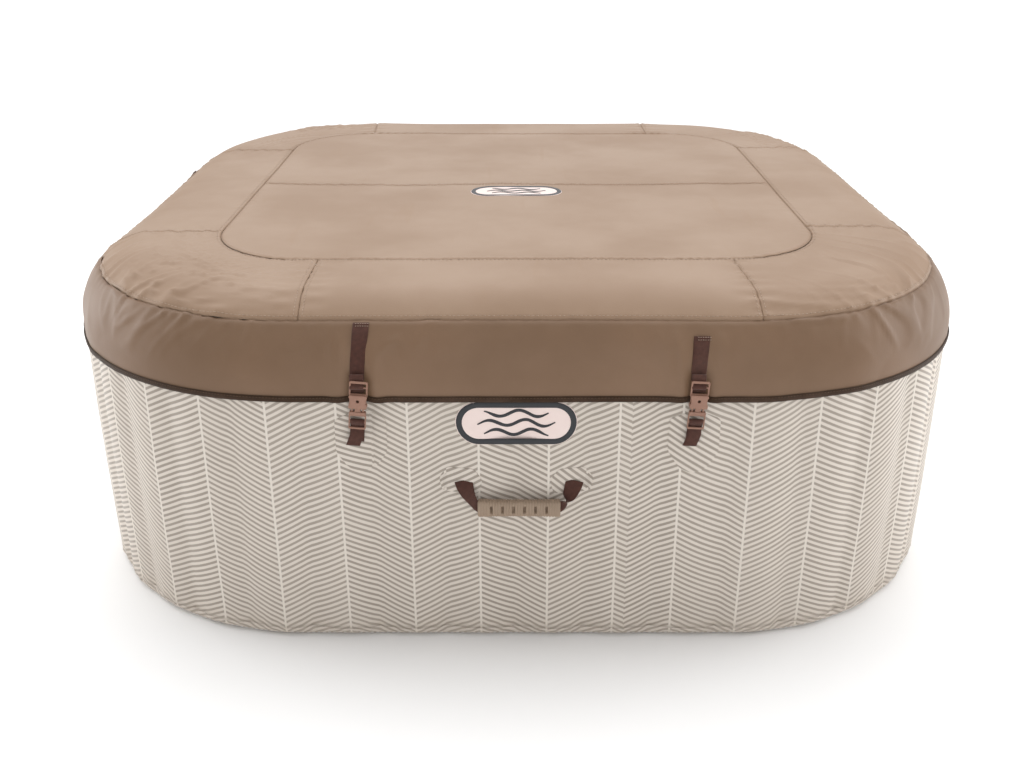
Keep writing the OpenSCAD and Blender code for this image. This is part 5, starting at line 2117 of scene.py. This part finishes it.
@dataclass(frozen=True)
class WallPlace:
    """A place on a side's inflated wall for welded flat things; stiff ones bridge the deepest dips."""

    side: Side
    x: float
    z: float
    deepest: float = -1.0

    def point(self, x: float, z: float, lift: float) -> Vector:
        """The wall's surface at an offset from the place, raised by a lift."""
        s = self.side.value * LOOP.quarter + self.x + x
        base, out = LOOP.at(s)
        push = max(wall_push(s, self.z + z), self.deepest)
        return base + out * (TUB.corner_r + push + lift) + UP * (self.z + z)


@dataclass(frozen=True)
class TopPlace:
    """A place on the cover's flat top."""

    x: float
    y: float

    def point(self, x: float, y: float, lift: float) -> Vector:
        """The top's surface at an offset from the place, raised by a lift."""
        px, py = self.x + x, self.y + y
        return Vector((px, py, COVER.top + SKIN.top_push(px, py) + RELIEF.seam(abs(py), px, 5.0) + lift))


def wall_push(s: float, z: float) -> float:
    """Outward push of the wall's surface, as the wall's own rule gives it."""
    web = web_wave(s)
    share = z / TUB.shoulder_z
    belly = TUB.belly * sin(pi * share)
    return TUB.web_dip * (web - 1) + belly + 0.0012 * wander(s * 5, z * 4) + 0.0006 * wander(s * 17, z * 9, 4)


def disc_on(place: WallPlace | TopPlace, outline: Line, lift: float, turn: float = 0.0) -> Mesh:
    """A thin flat shape laid on a surface, with its edge melted into it.

    Args:
        place: Where its middle lies.
        outline: Its outline round its middle.
        lift: Its thickness.
        turn: Angle by which its print is turned, in radians.

    Returns:
        The closed mesh, with its map in metres.
    """
    rows, uvs = [], []
    c, s = cos(turn), sin(turn)
    spans = [*steps(0.0, 0.96, 24), 0.985, 1.0]
    under = -0.0006
    layers = [(share, lift) for share in spans]
    layers += [(1.006, lift * 0.55), (1.004, under), (0.5, under), (0.0, under)]
    for share, height in layers:
        row, uv_row = [], []
        for x, z in [*outline, outline[0]]:
            px, pz = x * share, z * share
            row.append(place.point(px, pz, height))
            uv_row.append((px * c - pz * s, px * s + pz * c + 0.4))
        rows.append(row)
        uvs.append(uv_row)
    return weld(grid_mesh(rows, uvs), 1e-6)


def line_on(
    place: WallPlace | TopPlace, path: Line, width: float, lift: float, closed: bool = False
) -> Mesh:
    """A raised printed line on a surface.

    Args:
        place: Where the path's own middle lies.
        path: The line's middle.
        width: Its width.
        lift: How far it stands off the surface.
        closed: Whether its ends meet.

    Returns:
        The closed mesh.
    """
    rows = []
    foot, low = -0.0003, lift * 0.6
    count = len(path)
    for i, (x, z) in enumerate(path):
        ahead = path[(i + 1) % count] if closed else path[min(i + 1, count - 1)]
        behind = path[i - 1] if closed or i else path[i]
        dx, dz = ahead[0] - behind[0], ahead[1] - behind[1]
        length = hypot(dx, dz) or 1.0
        nx, nz = -dz / length, dx / length
        taper = 1.0 if closed else min(1.0, 0.35 + 4 * min(i, count - 1 - i) / count)
        row = []
        for side, height in zip((-0.5, -0.5, -0.4, 0.4, 0.5, 0.5), (foot, low, lift, lift, low, foot)):
            w = width * side * taper
            row.append(place.point(x + nx * w, z + nz * w, height))
        rows.append([*row, row[0]])
    if closed:
        rows.append([v.copy() for v in rows[0]])
    uvs = [[(i * 0.01, j * 0.01) for j in range(len(row))] for i, row in enumerate(rows)]
    mesh = weld(grid_mesh(rows, uvs), 1e-6)
    work = bmesh.new()
    work.from_mesh(mesh)
    bmesh.ops.holes_fill(work, edges=[e for e in work.edges if e.is_boundary], sides=8)
    bmesh.ops.recalc_face_normals(work, faces=work.faces)
    work.to_mesh(mesh)
    work.free()
    return mesh


def dense(outline: Line, pitch: float = 0.004) -> Line:
    """An outline with points no further apart than a pitch."""
    points = []
    for a, b in pairwise([*outline, outline[0]]):
        count = max(1, ceil(dist(a, b) / pitch))
        points += [(a[0] + (b[0] - a[0]) * i / count, a[1] + (b[1] - a[1]) * i / count) for i in range(count)]
    return points


@dataclass
class Patches:
    """Printed patches welded round the straps and the handle's ends."""

    lift: float = 0.0011
    strap_z: float = 0.445
    handle_x: float = 0.1025
    handle_z: float = 0.35

    def build(self) -> None:
        """Builds and dresses all the patches as one piece."""
        half = [(0.0, 0.05), (0.046, 0.03), (0.046, -0.035), (0.024, -0.068), (0.0, -0.078)]
        house = half + [(-x, z) for x, z in half[-2:0:-1]]
        strap_shape = dense(outline_round(house, 0.009))
        end = [(-0.034, -0.024), (0.034, -0.024), (0.04, 0.004), (0.024, 0.026), (-0.024, 0.026)]
        end.append((-0.04, 0.004))
        handle_shape = dense(outline_round(end, 0.008))
        meshes = []
        for side in Side:
            for strap in Strap:
                place = WallPlace(side, strap.value, self.strap_z)
                meshes.append(disc_on(place, strap_shape, self.lift, 0.3 * strap.value))
            if side is not Side.BACK:
                for way in (-1, 1):
                    place = WallPlace(side, way * self.handle_x, self.handle_z)
                    meshes.append(disc_on(place, handle_shape, self.lift, -0.98 if way < 0 else 0.25))
        piece = new_piece("welded_patches", join_meshes(meshes))
        finish_piece(piece, "tub", LOOKS.patch, "printed_laminate", "wall_patches")


@dataclass
class Badges:
    """The two plain badges, each a pale field with a dark border and wave lines."""

    def build(self) -> None:
        """Builds and dresses both badges."""
        wall = mid("tub_badge")
        front = WallPlace(Side.FRONT, wall.x, wall.z, -0.003)
        self.badge("tub", "wall_badge", front, 0.219, 0.084, "tub_badge")
        top = mid("cover_badge")
        self.badge("cover", "top_badge", TopPlace(top.x, top.y), 0.219, 0.095, "cover_badge")

    def badge(
        self, body: str, name: str, place: WallPlace | TopPlace, width: float, height: float, node: str
    ) -> None:
        """Builds a badge.

        Args:
            body: The CAD body that it rides on.
            name: The name that its pieces start with.
            place: Where its middle lies.
            width: Its width.
            height: Its height.
            node: The CAD node that it stands for.
        """
        outline = dense(outline_round(self.stadium(width, height), 0.001), 0.005)
        field = new_piece(f"{name}_field", disc_on(place, outline, 0.001))
        finish_piece(field, body, LOOKS.badge, "badge", node)
        lines = [line_on(place, self.stadium(width - 0.012, height - 0.012), 0.0108, 0.0019, closed=True)]
        for row, reach in ((-0.0185, 0.058), (0.0, 0.07), (0.0185, 0.058)):
            wave = [(x, row + 0.0058 * sin(x * 95 + row * 60)) for x in steps(-reach, reach, 90)]
            lines.append(line_on(place, wave, 0.0062, 0.0019))
        marks = new_piece(f"{name}_lines", join_meshes(lines))
        finish_piece(marks, body, LOOKS.badge_dark, "badge")

    def stadium(self, width: float, height: float, count: int = 22) -> Line:
        """Outline of a shape with straight sides and round ends."""
        r = height / 2
        flat = width / 2 - r
        right = [(flat + r * cos(radians(a)), r * sin(radians(a))) for a in steps(-90, 90, count)]
        return right + [(-x, -z) for x, z in right]


# ---- Fittings ----


@dataclass
class Fittings:
    """Ports, caps, nuts, strainers and valves, which keep their CAD shapes."""

    def build(self) -> None:
        """Dresses every carried-over CAD node."""
        white = ("water_ports", "air_port", "drain_fitting", "strainer_grids", "air_valve_body")
        grey = ("port_nuts", "water_cap_left", "water_cap_right", "air_port_cap", "drain_cap")
        for node in (*white, "cushion_valve"):
            self.dress(node, LOOKS.white)
        for node in (*grey, "air_valve_cap", "cushion_plug"):
            self.dress(node, LOOKS.grey)
        for node in ("bubble_channel", "air_duct"):
            self.dress(node, LOOKS.plain)
        self.dress("zip_slider", LOOKS.metal)

    def dress(self, node: str, material: Material) -> None:
        """Sets a finish on every material slot of a CAD node."""
        mesh = bpy.data.objects[node].data
        if not mesh.materials:
            mesh.materials.append(material)
        for index in range(len(mesh.materials)):
            mesh.materials[index] = material


# ---- Studio ----


@dataclass
class Studio:
    """Plain pale floor, soft light and the camera."""

    def build(self) -> None:
        """Sets up the floor, the light and the camera."""
        self.floor()
        self.world()
        self.sky(2.35, 31.0)
        self.lamp("left_light", (-4.2, 0.6, 1.7), 3.0, 85.0)
        self.lamp("right_light", (4.2, 0.2, 1.7), 3.0, 85.0)
        self.lamp("front_light", (0.6, -4.6, 2.2), 3.0, 30.0)
        self.camera()

    def floor(self) -> None:
        """Adds the floor."""
        half = 20.0
        corners = [Vector((x * half, y * half, -0.0004)) for x, y in ((-1, -1), (1, -1), (1, 1), (-1, 1))]
        floor = new_piece("studio_floor", mesh_from(corners, [(0, 1, 2, 3)]))
        c = Canvas("studio_floor", Specular_IOR_Level=0.2)
        tone = c.mix(c.noise(c.object, 1.4), "#fbfbfb", "#f8f8f8")
        c.paint("Base Color", tone)
        c.paint("Roughness", c.plus(c.times(c.noise(c.object, 3.0), 0.1), 0.8))
        floor.data.materials.append(c.material)

    def world(self) -> None:
        """Adds even white light from all round."""
        world = bpy.data.worlds.new("studio_world")
        world.use_nodes = True
        nodes = Nodes(world.node_tree)
        background = world.node_tree.nodes["Background"]
        background.inputs["Color"].default_value = (1.0, 1.0, 1.0, 1.0)
        seen = nodes.add("ShaderNodeLightPath")["Is Camera Ray"]
        strength = nodes.plus(nodes.times(seen, 0.55), 0.5)
        world.node_tree.links.new(strength, background.inputs["Strength"])
        bpy.context.scene.world = world
        bpy.context.scene.view_settings.view_transform = "Standard"

    def sky(self, strength: float, lean: float) -> None:
        """Adds broad even light from above, leaning from the back by an angle in degrees."""
        data = bpy.data.lights.new("sky_light", "SUN")
        data.energy = strength
        data.angle = radians(75)
        link_new("sky_light", data).rotation_euler = (radians(-lean), 0.0, 0.0)

    def lamp(self, name: str, place: tuple[float, float, float], width: float, power: float) -> None:
        """Adds a large soft lamp that points at the tub."""
        data = bpy.data.lights.new(name, "AREA")
        data.size = width
        data.energy = power
        lamp = link_new(name, data)
        lamp.location = place
        aim = Vector((0, 0, 0.35)) - Vector(place)
        lamp.rotation_euler = aim.to_track_quat("-Z", "Y").to_euler()

    def camera(self) -> None:
        """Adds the camera."""
        data = bpy.data.cameras.new("camera")
        data.lens = 38.7
        data.sensor_width = 36.0
        data.shift_x = -0.0042
        data.clip_end = 100.0
        camera = link_new("camera", data)
        camera.location = (0.0, -2.695, 1.332)
        camera.rotation_euler = (radians(66.17), 0.0, 0.0)
        bpy.context.scene.camera = camera


def main() -> None:
    """Builds the whole model."""
    logging.basicConfig(level=logging.INFO, format="%(message)s")
    Tub().build()
    Cover().build()
    Buckles().build()
    for side in (Side.FRONT, Side.LEFT, Side.RIGHT):
        Handle(side).build()
    Fittings().build()
    Patches().build()
    Badges().build()
    Studio().build()


if __name__ == "__main__":
    main()
